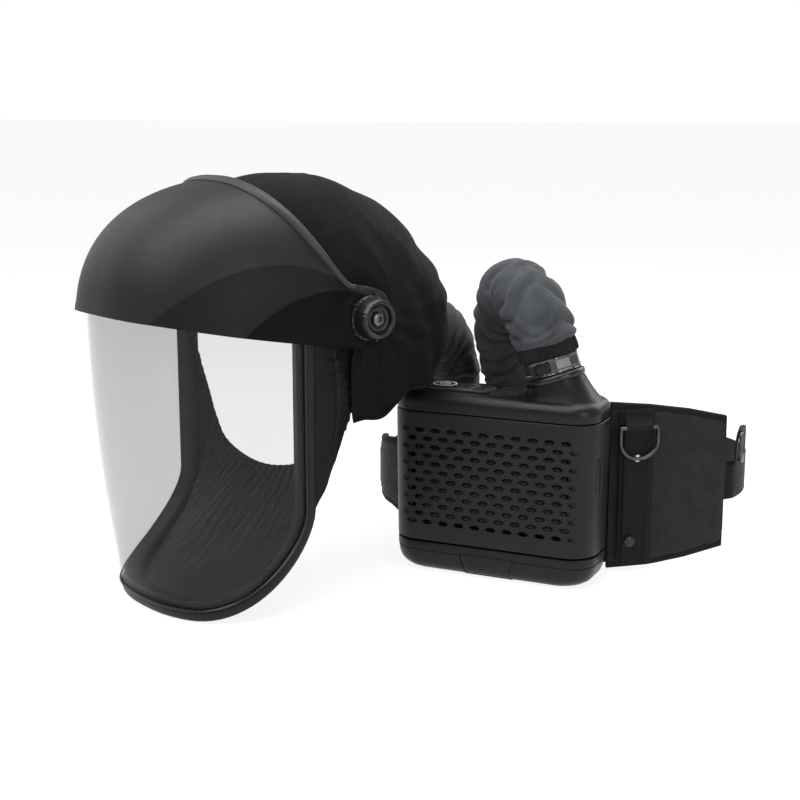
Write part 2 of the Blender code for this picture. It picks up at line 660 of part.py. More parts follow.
# ---- blower ---------------------------------------------------------------------------------------
def make_case(mats, neck):
    inset = 2 * WALL

    low = half_case(201 * MM, 74.5 * MM, 26.5 * MM, False, SPLIT_Y + 2 * GAP)
    high = half_case(BLOWER_W, BLOWER_D, BLOWER_R, False, SPLIT_Y + 2 * GAP)
    verts, faces = loft([level(low, BATTERY_H + 1 * MM), level(high, COVER_TOP)])
    rear = solid("rear_case", verts, faces, mats["case"], smooth=True)
    hollow = half_case(BLOWER_W - inset, BLOWER_D - inset, 24.5 * MM, False, SPLIT_Y - 10 * MM)
    verts, faces = prism(hollow, BATTERY_H + 4 * MM, COVER_TOP - 3 * MM)
    cut(rear, solid("rear_hollow", verts, faces, mats["case"]))

    low = half_case(201 * MM, 74.5 * MM, 26.5 * MM, True, SPLIT_Y)
    high = half_case(BLOWER_W, BLOWER_D, BLOWER_R, True, SPLIT_Y)
    verts, faces = loft([level(low, BATTERY_H + 1 * MM), level(high, COVER_TOP)])
    cover = solid("filter_cover", verts, faces, mats["grain"], smooth=True)
    hollow = half_case(BLOWER_W - inset, BLOWER_D - inset, 24.5 * MM, True, SPLIT_Y + 10 * MM)
    verts, faces = prism(hollow, BATTERY_H + 4 * MM, COVER_TOP - 3 * MM)
    cut(cover, solid("cover_hollow", verts, faces, mats["grain"]))
    verts, faces = [], []
    for row in range(3):
        for col in range(5):
            x, z = (col - 2 + 0.25 * (row % 2)) * 26 * MM, (74 + 24 * row) * MM
            hexagon = [(x + 6 * MM * math.cos(math.radians(60 * k)), -45 * MM,
                        z + 3 * MM * math.sin(math.radians(60 * k))) for k in range(6)]
            back = [(px, -30 * MM, pz) for px, _, pz in hexagon]
            v, f = loft([hexagon, back])
            faces += [tuple(i + len(verts) for i in face) for face in f]
            verts += v
    cut(cover, solid("cover_holes", verts, faces, mats["grain"]))
    latch_slot = box("latch_slot", (94 * MM, -20 * MM, 90 * MM), (106 * MM, -8 * MM, 126 * MM),
                     mats["grain"])
    cut(cover, latch_slot)
    box("cover_latch", (96 * MM, -19.4 * MM, 90.6 * MM), (101 * MM, -8.6 * MM, 125.4 * MM),
        mats["case"])

    shapes = ((204, 76, 27, 158), (204, 76, 27, 165), (201, 73, 26, 171), (194, 66, 24, 174.6),
              (184, 56, 20, 176))
    verts, faces = loft([level(rounded_rect(w * MM, d * MM, r * MM, 5), z * MM)
                         for w, d, r, z in shapes])
    cap = solid("top_cap", verts, faces, mats["case"], smooth=True)
    outline = rounded_rect(BLOWER_W - inset, BLOWER_D - inset, 24.5 * MM, 4)
    verts, faces = prism(outline, 150 * MM, 171 * MM)
    cut(cap, solid("cap_hollow", verts, faces, mats["case"]))
    verts, faces = turned([(36 * MM, 3.6 * MM), (34 * MM, 9 * MM), (30 * MM, 15 * MM),
                           (27 * MM, 22 * MM)], 28)
    join(cap, solid("neck_cone", verts, faces, mats["case"], neck))
    verts, faces = turned([(19 * MM, -20 * MM), (19 * MM, 30 * MM)], 24)
    cut(cap, solid("neck_bore", verts, faces, mats["case"], neck))


def make_controls(mats):
    panel = box("control_panel", (-76 * MM, -20 * MM, 176.3 * MM), (-8 * MM, 12 * MM, 178 * MM),
                mats["gloss"], radius=8 * MM)
    well = box("button_well", (-71 * MM, -16 * MM, 176.8 * MM), (-43 * MM, 8 * MM, 182 * MM),
               mats["gloss"], radius=8 * MM)
    cut(panel, well)
    window_well = box("window_well", (-37 * MM, -12 * MM, 177.2 * MM),
                      (-14 * MM, 6 * MM, 182 * MM), mats["gloss"])
    cut(panel, window_well)
    box("power_button", (-70.4 * MM, -15.4 * MM, 178 * MM), (-43.6 * MM, 7.4 * MM, 179.6 * MM),
        mats["case"], radius=8 * MM)
    box("status_window", (-36.6 * MM, -11.6 * MM, 177.5 * MM), (-14.4 * MM, 5.6 * MM, 178.2 * MM),
        mats["window"])


def make_internals(mats):
    seat = box("filter_seat", (-90 * MM, -1 * MM, 36 * MM), (90 * MM, 1.6 * MM, 152 * MM),
               mats["gear"])
    fan_at = (-20 * MM, 0, 94 * MM)
    verts, faces = turned([(34 * MM, -8 * MM), (34 * MM, 8 * MM)], 24)
    cut(seat, solid("seat_hole", along(verts, (0, 1, 0), fan_at), faces, mats["gear"]))

    def pane(name, mat, half_w, z0, z1, y0, y1, hole):
        plate = box(name, (-half_w * MM, y0 * MM, z0 * MM), (half_w * MM, y1 * MM, z1 * MM), mat)
        if hole:
            cut(plate, box(name + "_hole", ((hole - half_w) * MM, (y0 - 5) * MM, (z0 + hole) * MM),
                           ((half_w - hole) * MM, (y1 + 5) * MM, (z1 - hole) * MM), mat))

    pane("filter_gasket", mats["foam"], 72, 50, 144, -4.4, -1.4, 7)
    pane("particle_filter", mats["filter"], 76, 46, 148, -24, -4.8, 0)
    pane("spark_screen", mats["metal"], 74, 48, 146, -26.4, -24.4, 0)

    ring = [(47 * MM, 3 * MM), (47 * MM, 30 * MM), (43 * MM, 30 * MM), (43 * MM, 3 * MM)]
    verts, faces = turned_ring(ring, 28)
    scroll = solid("fan_scroll", along(verts, (0, 1, 0), fan_at), faces, mats["gear"], smooth=True)
    join(scroll, box("scroll_duct", (22.5 * MM, 5 * MM, 94 * MM), (26.5 * MM, 28 * MM, 150 * MM),
                     mats["gear"]))
    outline = []
    for i in range(32):
        a = 2 * math.pi * i / 32
        r = (38 if i % 4 < 2 else 29) * MM
        outline.append((r * math.cos(a), r * math.sin(a)))
    verts, faces = prism(outline, 5 * MM, 20 * MM)
    solid("impeller", along(verts, (0, 1, 0), fan_at), faces, mats["gear"], at=fan_at)
    verts, faces = turned([(17 * MM, 20.6 * MM), (17 * MM, 31 * MM)], 20)
    solid("fan_motor", along(verts, (0, 1, 0), fan_at), faces, mats["metal"], smooth=True)
    box("circuit_board", (40 * MM, 8 * MM, 60 * MM), (84 * MM, 10 * MM, 140 * MM), mats["board"])


def make_battery(mats):
    shapes = ((186, 62, 18, 0), (194, 69, 22, 2), (198, 73, 25, 7), (200, 74, 26, 18),
              (201, 74.5, 26, 29.8))
    verts, faces = loft([level(rounded_rect(w * MM, d * MM, r * MM, 5), z * MM)
                         for w, d, r, z in shapes])
    pack = solid("battery_pack", verts, faces, mats["case"], smooth=True)
    outline = ((-24, 2.5), (24, 2.5), (19, 20), (-19, 20))
    pocket = [[(x * MM, y * MM, z * MM) for x, z in outline] for y in (-45, -31)]
    verts, faces = loft(pocket)
    cut(pack, solid("latch_pocket", verts, faces, mats["case"]))
    latch = [[(x * 0.97 * MM, y * MM, (11 + (z - 11) * 0.95) * MM) for x, z in outline]
             for y in (-35.2, -33.2)]
    verts, faces = loft(latch)
    solid("battery_latch", verts, faces, mats["grain"])


# ---- belt --------------------------------------------------------------------------------------------
def upright_band(path, lows, highs, thickness, rows=1):
    """A plate that stands along a plan path, with its lower and upper edge at each point."""
    grid = []
    for p, low, high in zip(path, lows, highs):
        grid.append([Vector((p[0], p[1], low + (high - low) * k / rows))
                     for k in range(rows + 1)])
    normals = []
    for i, row in enumerate(grid):
        step = grid[min(i + 1, len(grid) - 1)][0] - grid[max(i - 1, 0)][0]
        n = Vector((step.y, -step.x, 0)).normalized()
        normals.append([n] * len(row))
    return slab(grid, normals, -thickness / 2, thickness / 2)


def ease(values, count):
    """Evenly spaced values read from a short list with straight runs between."""
    result = []
    for i in range(count):
        place = (len(values) - 1) * i / (count - 1)
        k = min(int(place), len(values) - 2)
        result.append((values[k] + (values[k + 1] - values[k]) * (place - k)) * MM)
    return result


def band(name, mat, plan, lows, highs, thickness, count):
    path = smooth_curve([(x * MM, y * MM, 0) for x, y in plan], count)
    verts, faces = upright_band(path, ease(lows, count), ease(highs, count), thickness, 2)
    return solid(name, verts, faces, mat, smooth=True)


RIGHT_WING = ((97, 47), (128, 68), (158, 92), (187, 116))
LEFT_WING = ((-97, 49), (-126, 56), (-150, 68), (-164, 84), (-172, 104))


def make_belt(mats):
    plate = box("belt_plate", (-46 * MM, 38.4 * MM, 46 * MM), (46 * MM, 41.2 * MM, 140 * MM),
                mats["gear"])
    cut(plate, box("plate_window", (-20 * MM, 30 * MM, 70 * MM), (20 * MM, 45 * MM, 116 * MM),
                   mats["gear"]))
    band("lumbar_pad", mats["nylon"], ((-91, 47.5), (-50, 48.5), (0, 49), (50, 48.5), (91, 47.5)),
         (6, 1, 1, 1, 6), (160, 170, 172, 170, 164), 11 * MM, 13)
    band("belt_wing_right", mats["nylon"], ((97.5, 47), *RIGHT_WING[1:]), (1, 3, 8, 16),
         (165, 162, 156, 147), 9 * MM, 9)
    band("belt_wing_left", mats["nylon"], ((-97.5, 48), *LEFT_WING[1:]), (8, 22, 32, 35, 38),
         (112, 108, 104, 101, 97), 9 * MM, 9)
    band("webbing_right", mats["webbing"],
         ((187.5, 118.5), (195, 131), (197, 164), (184, 212), (148, 256), (92, 284), (32, 294)),
         (62, 62, 60, 58, 56, 55, 55), (100, 100, 98, 96, 94, 93, 93), WEB_T, 18)
    band("webbing_left", mats["webbing"],
         ((-172.6, 106), (-182, 142), (-182, 180), (-164, 222), (-128, 258), (-84, 282),
          (-32, 294)), (40, 44, 48, 52, 54, 55, 55), (78, 82, 86, 90, 92, 93, 93), WEB_T, 18)
    socket = box("buckle_socket", (-31.4 * MM, 288 * MM, 50 * MM), (8 * MM, 300 * MM, 98 * MM),
                 mats["gear"])
    cut(socket, box("socket_mouth", (-22 * MM, 290.4 * MM, 56 * MM), (20 * MM, 297.6 * MM, 92 * MM),
                    mats["gear"]))
    plug = box("buckle_plug", (8.4 * MM, 288 * MM, 50 * MM), (31.4 * MM, 300 * MM, 98 * MM),
               mats["gear"])
    join(plug, box("plug_tongue", (-20 * MM, 291 * MM, 57 * MM), (12 * MM, 297 * MM, 91 * MM),
                   mats["gear"]))


def make_ring_strap(mats, wing, side):
    """The upright webbing on the wing's outer face and the two D-rings, in the wing's frame."""
    box("ring_strap", (-32 * MM, -7.4 * MM, 6 * MM), (-4 * MM, -5 * MM, 160 * MM), mats["webbing"],
        wing)
    for name, x, y, z, parent in (("d_ring_front", -18 * MM, -11 * MM, 142 * MM, wing),
                                ("d_ring_side", 0, -8 * MM, 130 * MM, side)):
        path = [Vector((RING_W / 2 - 3 * MM, 0, 0)), Vector((RING_W / 2 - 2 * MM, 0, -7 * MM))]
        for i in range(9):
            a = math.radians(180 * i / 8)
            path.append(Vector(((RING_W / 2 - 2 * MM) * math.cos(a), 0,
                                -13 * MM - 17 * MM * math.sin(a))))
        path += [Vector((-RING_W / 2 + 2 * MM, 0, -7 * MM)),
                 Vector((-RING_W / 2 + 3 * MM, 0, 0))]
        rings = []
        for i, p in enumerate(path):
            step = path[(i + 1) % len(path)] - path[i - 1]
            out = Vector((0, 1, 0)).cross(step.normalized())
            rings.append([Vector((x, y, z)) + p + out * 2 * MM * math.cos(math.radians(60 * k))
                          + Vector((0, 2 * MM * math.sin(math.radians(60 * k)), 0))
                          for k in range(6)])
        verts, faces = loft(rings, loop=True)
        solid(name, verts, faces, mats["steel"], parent, at=(x, y, z), smooth=True)


def main():
    clear_scene()
    mats = {
        "shell": finish("shell_black", (0.018, 0.018, 0.02), 0.55),
        "trim": finish("trim_grey", (0.06, 0.06, 0.062), 0.5),
        "lens": finish("clear_lens", (0.9, 0.92, 0.93), 0.05, alpha=0.25),
        "frame": finish("frame_black", (0.02, 0.02, 0.022), 0.5),
        "foam": finish("foam_black", (0.02, 0.02, 0.02), 0.95),
        "seal": finish("seal_nylon", (0.032, 0.033, 0.04), 0.6),
        "hood": finish("hood_cloth", (0.012, 0.012, 0.013), 0.9),
        "gear": finish("gear_plastic", (0.03, 0.03, 0.03), 0.6),
        "knob": finish("knob_plastic", (0.012, 0.012, 0.012), 0.35),
        "metal": finish("zinc", (0.3, 0.3, 0.31), 0.4, 1.0),
        "steel": finish("dark_steel", (0.08, 0.08, 0.085), 0.35, 1.0),
        "sleeve": finish("sleeve_grey", (0.07, 0.075, 0.08), 0.85),
        "cuff": finish("knit_cuff", (0.012, 0.012, 0.012), 0.9),
        "collar": finish("silver_collar", (0.35, 0.36, 0.37), 0.3, 0.7),
        "case": finish("case_black", (0.018, 0.018, 0.018), 0.45),
        "grain": finish("grained_black", (0.02, 0.02, 0.02), 0.6),
        "gloss": finish("panel_gloss", (0.03, 0.03, 0.03), 0.15),
        "window": finish("window_smoke", (0.02, 0.02, 0.025), 0.08),
        "filter": finish("filter_paper", (0.75, 0.75, 0.72), 0.9),
        "board": finish("board_green", (0.02, 0.12, 0.05), 0.5),
        "nylon": finish("belt_nylon", (0.016, 0.016, 0.017), 0.8),
        "webbing": finish("webbing_black", (0.013, 0.013, 0.014), 0.85),
    }
    helmet = frame_empty("helmet_frame", HELMET_AT, (0, 0, HELMET_TURN))
    neck = frame_empty("neck_frame", NECK_AT, (0, -NECK_LEAN, 0))
    run = Vector(RIGHT_WING[2]) - Vector(RIGHT_WING[1])
    wing = frame_empty("wing_frame", (RIGHT_WING[1][0] * MM, RIGHT_WING[1][1] * MM, 0),
                       (0, 0, math.atan2(run.y, run.x)))
    side = frame_empty("side_ring_frame", (193 * MM, 131 * MM, 0), (0, 0, math.radians(98)))
    make_visor(mats, helmet)
    make_face_seal(mats, helmet)
    make_hood(mats, helmet)
    make_headgear(mats, helmet)
    make_pivots(mats, helmet)
    make_air_path(mats, helmet)
    make_hose(mats)
    make_outlet(mats, neck)
    make_case(mats, neck)
    make_controls(mats)
    make_internals(mats)
    make_battery(mats)
    make_belt(mats)
    make_ring_strap(mats, wing, side)


main()
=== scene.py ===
"""Powered air respirator: the detailed pieces, materials, camera and light round the frame."""
import math

import bmesh
import bpy
from mathutils import Euler, Matrix, Vector, noise


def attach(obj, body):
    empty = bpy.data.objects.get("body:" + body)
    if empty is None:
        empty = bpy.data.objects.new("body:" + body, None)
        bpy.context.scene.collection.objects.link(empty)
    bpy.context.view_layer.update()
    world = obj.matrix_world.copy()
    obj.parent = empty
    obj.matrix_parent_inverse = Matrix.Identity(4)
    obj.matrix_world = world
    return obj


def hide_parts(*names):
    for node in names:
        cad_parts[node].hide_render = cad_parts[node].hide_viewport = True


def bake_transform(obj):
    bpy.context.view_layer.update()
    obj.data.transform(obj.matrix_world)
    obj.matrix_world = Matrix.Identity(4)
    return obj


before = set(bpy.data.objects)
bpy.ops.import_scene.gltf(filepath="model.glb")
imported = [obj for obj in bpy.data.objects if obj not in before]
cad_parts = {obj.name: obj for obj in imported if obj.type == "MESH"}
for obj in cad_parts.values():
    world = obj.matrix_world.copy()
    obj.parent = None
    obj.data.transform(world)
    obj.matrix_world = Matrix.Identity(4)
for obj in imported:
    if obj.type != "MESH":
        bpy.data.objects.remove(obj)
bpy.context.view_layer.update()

MM = 0.001
CARRIER, VISOR = "carrier", "visor"

# ---- sizes shared with the part, in millimetres and radians ----------------------------------
SPLIT_Y = -2                      # where the blower's front cover meets its rear case
NECK_AT, NECK_LEAN = Vector((60, 0, 170)), math.radians(18)
HELMET_AT, HELMET_TURN = Vector((-176, -83, 0)), math.radians(-26)
PIVOT_Z, EAR_X = 259, 111
SHELL_CENTRE = Vector((0, -22, 243))
SHELL_SEMI = Vector((112, 186, 137))
SHELL_POWER = 2.6
VISOR_HALF, VISOR_SIDE, VISOR_REACH, VISOR_TAPER, VISOR_POWER = 104, 64, 199, 26, 2.4
VISOR_TOP, VISOR_BOTTOM, VISOR_CORNER, VISOR_CORNER_RUN, VISOR_ARC = 278, 12, 82, 108, 165
FRAME_TOP, FRAME_DEPTH = 252, 18
HOSE_D = 55
HOSE_ROUTE = [
    (-118.1, 35.6, 224), (-106.3, 60, 224), (-97, 83, 207), (-97, 104, 170), (-106, 122, 134),
    (-120, 140, 96), (-126, 162, 58), (-116, 192, 34), (-88, 212, 30), (-48, 214, 30),
    (-12, 194, 36), (2, 164, 58), (-4, 132, 98), (-18, 108, 146), (-30, 94, 194),
    (-28, 76, 236), (-10, 44, 264), (14, 14, 268), (34.3, 0, 248.9), (43.3, 0, 221.3),
]
RIGHT_WING = ((97.5, 47), (128, 68), (158, 92), (187, 116))
LEFT_WING = ((-97.5, 48), (-126, 56), (-150, 68), (-164, 84), (-172, 104))

HELMET = Matrix.Translation(HELMET_AT) @ Matrix.Rotation(HELMET_TURN, 4, "Z")
NECK = Matrix.Translation(NECK_AT) @ Matrix.Rotation(-NECK_LEAN, 4, "Y")
WING = (Matrix.Translation((128, 68, 0))
        @ Matrix.Rotation(math.atan2(24, 30), 4, "Z"))
SIDE_RING = Matrix.Translation((193, 131, 0)) @ Matrix.Rotation(math.radians(98), 4, "Z")


# ---- materials --------------------------------------------------------------------------------
# The sunk crescents on the brow's sides, in the headgear's axes: centre y, z, radius, depth.
CRESCENTS = ((-90, 175, 135, 1.3), (-38, 165, 120, 1.3))
CRESCENT_SHADE_FROM, CRESCENT_SHADE_FULL = 24, 58     # how far from the middle their painted shade fades in
# the brow's shine, and the lower shine that paints shade into the crescents
BROW_SHINE, CRESCENT_SHADE_SHINE = 0.3, 0.03


class Graph:
    """What shader trees and geometry trees share."""

    def join(self, value, socket):
        if isinstance(value, bpy.types.NodeSocket):
            self.tree.links.new(value, socket)
        else:
            socket.default_value = value

    def combine(self, kind, operation, terms):
        made = self.tree.nodes.new(kind)
        made.operation = operation
        for socket, value in zip(made.inputs, terms):
            self.join(value, socket)
        return made

    def math(self, operation, *terms):
        return self.combine("ShaderNodeMath", operation, terms).outputs[0]

    def vector(self, operation, *terms):
        """A vector sum; a length or a product of two comes back as its number."""
        made = self.combine("ShaderNodeVectorMath", operation, terms)
        return made.outputs["Value" if operation in ("LENGTH", "DOT_PRODUCT") else "Vector"]


class Finish(Graph):
    """A node material built up from a Principled shader; lengths are given in millimetres."""

    def __init__(self, name, colour, rough, metal=0.0, **sockets):
        self.mat = bpy.data.materials.new(name)
        self.mat.use_nodes = True
        self.tree = self.mat.node_tree
        self.shader = self.tree.nodes["Principled BSDF"]
        self.colour, self.rough = colour, rough
        self.put("Base Color", (*colour, 1))
        self.put("Roughness", rough)
        self.put("Metallic", metal)
        for key, value in sockets.items():
            self.put(key.replace("_", " "), value)
        self.height = None

    def put(self, socket, value):
        self.shader.inputs[socket].default_value = value

    def node(self, kind, **inputs):
        made = self.tree.nodes.new("ShaderNode" + kind)
        for key, value in inputs.items():
            self.join(value, made.inputs[key.replace("_", " ")])
        return made

    def place(self, cloth=False):
        """Where a point lies, on the piece's own cloth map or in the scene."""
        if cloth:
            made = self.tree.nodes.new("ShaderNodeUVMap")
            made.uv_map = "cloth"
            return made.outputs["UV"]
        return self.tree.nodes.new("ShaderNodeTexCoord").outputs["Object"]

    def speckle(self, size, detail=3.0):
        """Noise whose grains measure about this many millimetres."""
        return self.node("TexNoise", Vector=self.place(), Scale=1 / (size * MM),
                         Detail=detail).outputs["Fac"]

    def raise_by(self, field, depth):
        """Add a height field, 0 to 1, that stands this many millimetres high."""
        term = self.math("MULTIPLY", field, depth * MM)
        self.height = term if self.height is None else self.math("ADD", self.height, term)

    def scale_colour(self, factor):
        mix = self.tree.nodes.new("ShaderNodeVectorMath")
        mix.operation = "SCALE"
        current = self.shader.inputs["Base Color"]
        self.join(current.links[0].from_socket if current.is_linked else self.colour,
                  mix.inputs[0])
        self.tree.links.new(factor, mix.inputs["Scale"])
        self.tree.links.new(mix.outputs[0], current)

    def tint(self, field, dark, light):
        """Vary the colour between two multiples of itself."""
        self.scale_colour(self.node("MapRange", Value=field, From_Min=0.3, From_Max=0.7,
                                    To_Min=dark, To_Max=light).outputs[0])

    def polish(self, field, low, high):
        """Vary the roughness between two values."""
        ramp = self.node("MapRange", Value=field, From_Min=0.3, From_Max=0.7, To_Min=low,
                         To_Max=high).outputs[0]
        self.tree.links.new(ramp, self.shader.inputs["Roughness"])

    def worn_edges(self, gain):
        """Lighten what stands proud, as handling does."""
        sharp = self.node("NewGeometry").outputs["Pointiness"]
        self.scale_colour(self.node("MapRange", Value=sharp, From_Min=0.52, From_Max=0.6,
                                    To_Min=1.0, To_Max=gain).outputs[0])

    def done(self, strength=1.0):
        """The material, with its height field turned into a bump."""
        if self.height is not None:
            bump = self.node("Bump", Height=self.height, Strength=strength, Distance=1.0)
            self.tree.links.new(bump.outputs[0], self.shader.inputs["Normal"])
        return self.mat


def moulded(name, colour, rough, grain=0.5, depth=0.03, **sockets):
    """Injection-moulded plastic with a fine grain."""
    sockets.setdefault("Specular_IOR_Level", 0.24)
    f = Finish(name, colour, rough, **sockets)
    f.raise_by(f.speckle(grain, 2.0), depth)
    f.tint(f.speckle(38), 0.86, 1.16)
    f.polish(f.speckle(24, 4.0), rough - 0.05, rough + 0.07)
    f.worn_edges(1.5)
    return f.done()


def woven(name, colour, rough, pitch, depth, slant=0.0, sheen=0.25, across=1.0):
    """Cloth whose threads follow the piece's own map, with a thread pitch in millimetres."""
    f = Finish(name, colour, rough, Sheen_Weight=sheen, Sheen_Roughness=0.45,
               Specular_IOR_Level=0.12)
    turn = f.node("Mapping", Vector=f.place(True), Rotation=(0, 0, math.radians(slant)))
    split = f.node("SeparateXYZ", Vector=turn.outputs[0])
    step = 2 * math.pi / (pitch * MM)
    warp = f.math("SINE", f.math("MULTIPLY", split.outputs[0], step))
    weft = f.math("SINE", f.math("MULTIPLY", split.outputs[1], step * across))
    weave = f.math("MULTIPLY_ADD", f.math("MULTIPLY", warp, weft), 0.5, 0.5)
    f.raise_by(weave, depth)
    f.raise_by(f.speckle(0.8, 3.0), depth * 0.8)
    # Painted shade and painted highlight: darker in the hollows between threads, lighter on their
    # crowns
    f.tint(weave, 0.6, 1.45)
    f.tint(f.speckle(16, 4.0), 0.82, 1.2)
    f.polish(f.speckle(6), rough - 0.06, rough + 0.06)
    return f.done(0.9)


def metal(name, colour, rough):
    """Plated or worn metal."""
    f = Finish(name, colour, rough, metal=1.0)
    f.raise_by(f.speckle(0.25, 3.0), 0.01)
    f.tint(f.speckle(7, 4.0), 0.75, 1.2)
    f.polish(f.speckle(3, 4.0), rough - 0.08, rough + 0.12)
    f.worn_edges(1.6)
    return f.done()


def shell_with_crescent_shade():
    """The brow's black, with painted shade inside the crescents on its two sides: less shine there
    darkens them.
    """
    f = Finish("shell_black", (0.0062, 0.0063, 0.0067), 0.5, Specular_IOR_Level=BROW_SHINE)
    f.raise_by(f.speckle(0.55), 0.04)
    f.tint(f.speckle(30), 0.9, 1.1)
    f.polish(f.speckle(6), 0.46, 0.54)
    axis = (HELMET.to_3x3() @ Vector((1, 0, 0))).normalized()
    sunk = None
    for y, z, radius, _ in CRESCENTS:
        centre = (HELMET @ Vector((0, y, z))) * MM
        away = f.vector("SUBTRACT", f.place(), centre)
        reach = f.vector("LENGTH", f.vector("CROSS_PRODUCT", away, axis))
        inside = f.node("MapRange", Value=reach, From_Min=(radius + 0.8) * MM,
                        From_Max=(radius - 0.8) * MM).outputs[0]
        side = f.math("ABSOLUTE", f.vector("DOT_PRODUCT", away, axis))
        wide = f.node("MapRange", Value=side, From_Min=CRESCENT_SHADE_FROM * MM,
                      From_Max=CRESCENT_SHADE_FULL * MM).outputs[0]
        share = f.math("MULTIPLY", inside, wide)
        sunk = share if sunk is None else f.math("ADD", sunk, share)
    # Painted shade: less shine inside the crescents makes them darker
    shine = f.node("MapRange", Value=sunk, From_Max=2.0, To_Min=BROW_SHINE,
                   To_Max=CRESCENT_SHADE_SHINE)
    f.tree.links.new(shine.outputs[0], f.shader.inputs["Specular IOR Level"])
    return f.done()


def clear_sheet():
    """The lens: almost clear, with a dark reflecting skin."""
    f = Finish("lens_clear", (0.06, 0.062, 0.065), 0.04, metal=1.0, Alpha=0.19)
    f.polish(f.speckle(40), 0.03, 0.06)
    return f.done()


def corded_rib(name, colour, pitch, depth):
    """Knitted elastic: ribs along the piece's own map, each a row of small loops."""
    f = Finish(name, colour, 0.85, Sheen_Weight=0.08, Sheen_Roughness=0.5,
               Specular_IOR_Level=0.2)
    split = f.node("SeparateXYZ", Vector=f.place(True))
    rib = f.math("ABSOLUTE", f.math("SINE", f.math("MULTIPLY", split.outputs[0],
                                                   math.pi / (pitch * MM))))
    loop = f.math("ABSOLUTE", f.math("SINE", f.math("MULTIPLY", split.outputs[1],
                                                    math.pi / (0.9 * MM))))
    f.raise_by(rib, depth)
    f.raise_by(loop, depth * 0.5)
    # Painted shade and painted highlight: darker in the grooves between ribs, lighter on their tops
    f.tint(rib, 0.6, 1.3)
    return f.done()


SHELL_MAT = shell_with_crescent_shade()
TRIM_MAT = moulded("trim_grey", (0.03, 0.0305, 0.032), 0.42, grain=0.5)
RIM_MAT = moulded("rim_black", (0.006, 0.006, 0.0065), 0.42, grain=0.5, depth=0.02)
GEAR_MAT = moulded("gear_nylon", (0.015, 0.015, 0.016), 0.5, grain=0.7)
KNOB_MAT = moulded("knob_black", (0.0055, 0.0055, 0.006), 0.3, grain=0.6, depth=0.02,
                   Specular_IOR_Level=0.45)
CASE_MAT = moulded("case_black", (0.006, 0.006, 0.0063), 0.34, grain=0.45, depth=0.018)
GRAIN_MAT = moulded("grained_black", (0.0075, 0.0075, 0.008), 0.42, grain=0.75, depth=0.12)
PANEL_MAT = moulded("panel_gloss", (0.032, 0.033, 0.035), 0.2, grain=2, depth=0.002)
GLASS_MAT = moulded("window_smoke", (0.012, 0.014, 0.018), 0.08, grain=3, depth=0.001)
COLLAR_MAT = moulded("silver_collar", (0.075, 0.077, 0.08), 0.2, grain=0.6, depth=0.012,
                     Metallic=0.75, Specular_IOR_Level=0.5)
MARK_MAT = moulded("mark_white", (0.7, 0.71, 0.72), 0.4, grain=1)
BOARD_MAT = moulded("board_green", (0.02, 0.12, 0.05), 0.4, grain=1)
FOAM_MAT = moulded("foam_black", (0.012, 0.012, 0.012), 0.93, grain=0.9, depth=0.25)
# Filter paper is white; this dark grey is painted shade for the inside of the case
SHADED_PAPER_MAT = moulded("filter_paper", (0.1, 0.1, 0.097), 0.9, grain=1.2, depth=0.12)
ZINC_MAT = metal("zinc_plate", (0.12, 0.12, 0.125), 0.35)
STEEL_MAT = metal("dark_nickel", (0.07, 0.07, 0.073), 0.32)
RIVET_MAT = metal("rivet_nickel", (0.42, 0.42, 0.43), 0.26)
SEAL_MAT = woven("seal_nylon", (0.0065, 0.007, 0.0092), 0.42, 0.9, 0.02, slant=40, sheen=0.04)
HOOD_MAT = woven("hood_cloth", (0.0036, 0.0036, 0.0042), 0.78, 0.8, 0.04, sheen=0.015)
SLEEVE_MAT = woven("sleeve_cloth", (0.05, 0.0535, 0.0585), 0.82, 1.0, 0.04, sheen=0.1)
NYLON_MAT = woven("belt_nylon", (0.015, 0.015, 0.016), 0.5, 2.3, 0.45, slant=45, sheen=0.08)
TAPE_MAT = woven("binding_tape", (0.006, 0.006, 0.0065), 0.7, 1.1, 0.08, sheen=0.06)
WEB_MAT = woven("webbing_weave", (0.006, 0.006, 0.0065), 0.62, 1.5, 0.16, sheen=0.06,
                across=0.6)
CUFF_MAT = corded_rib("knit_cuff", (0.004, 0.004, 0.0045), 2.0, 0.25)
THREAD_MAT = woven("sewing_thread", (0.02, 0.02, 0.021), 0.6, 0.5, 0.04, sheen=0.1)
LENS_MAT = clear_sheet()


# ---- mesh helpers (points in millimetres) ---------------------------------------------------
def piece(name, shape, mat, body, stands_for=(), at=None, angle=40):
    """Make a mesh piece in world metres, ride it on a body and hide the CAD parts it stands for."""
    verts, faces, uvs = shape
    bm = bmesh.new()
    layer = bm.loops.layers.uv.new("cloth")
    points = [bm.verts.new((at @ Vector(v) if at else Vector(v)) * MM) for v in verts]
    for k, face in enumerate(faces):
        if len(set(face)) < 3:
            continue
        made = bm.faces.new([points[i] for i in face])
        for loop, (u, v) in zip(made.loops, uvs[k]):
            loop[layer].uv = (u * MM, v * MM)
    bmesh.ops.remove_doubles(bm, verts=bm.verts, dist=1e-6)
    bmesh.ops.dissolve_degenerate(bm, edges=bm.edges, dist=1e-7)
    bmesh.ops.recalc_face_normals(bm, faces=bm.faces)
    mesh = bpy.data.meshes.new(name)
    bm.to_mesh(mesh)
    bm.free()
    mesh.shade_smooth()
    mesh.set_sharp_from_angle(angle=math.radians(angle))
    return settle(bpy.data.objects.new(name, mesh), mat, body, stands_for)


def settle(obj, mat, body, stands_for=()):
    """Give an object its material and body, and hide the CAD parts it stands for; with no body it
    is left unattached.
    """
    if not obj.users_collection:
        bpy.context.scene.collection.objects.link(obj)
    obj.data.materials.clear()
    obj.data.materials.append(mat)
    if body:
        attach(obj, body)
    if stands_for:
        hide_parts(*stands_for)
    return obj


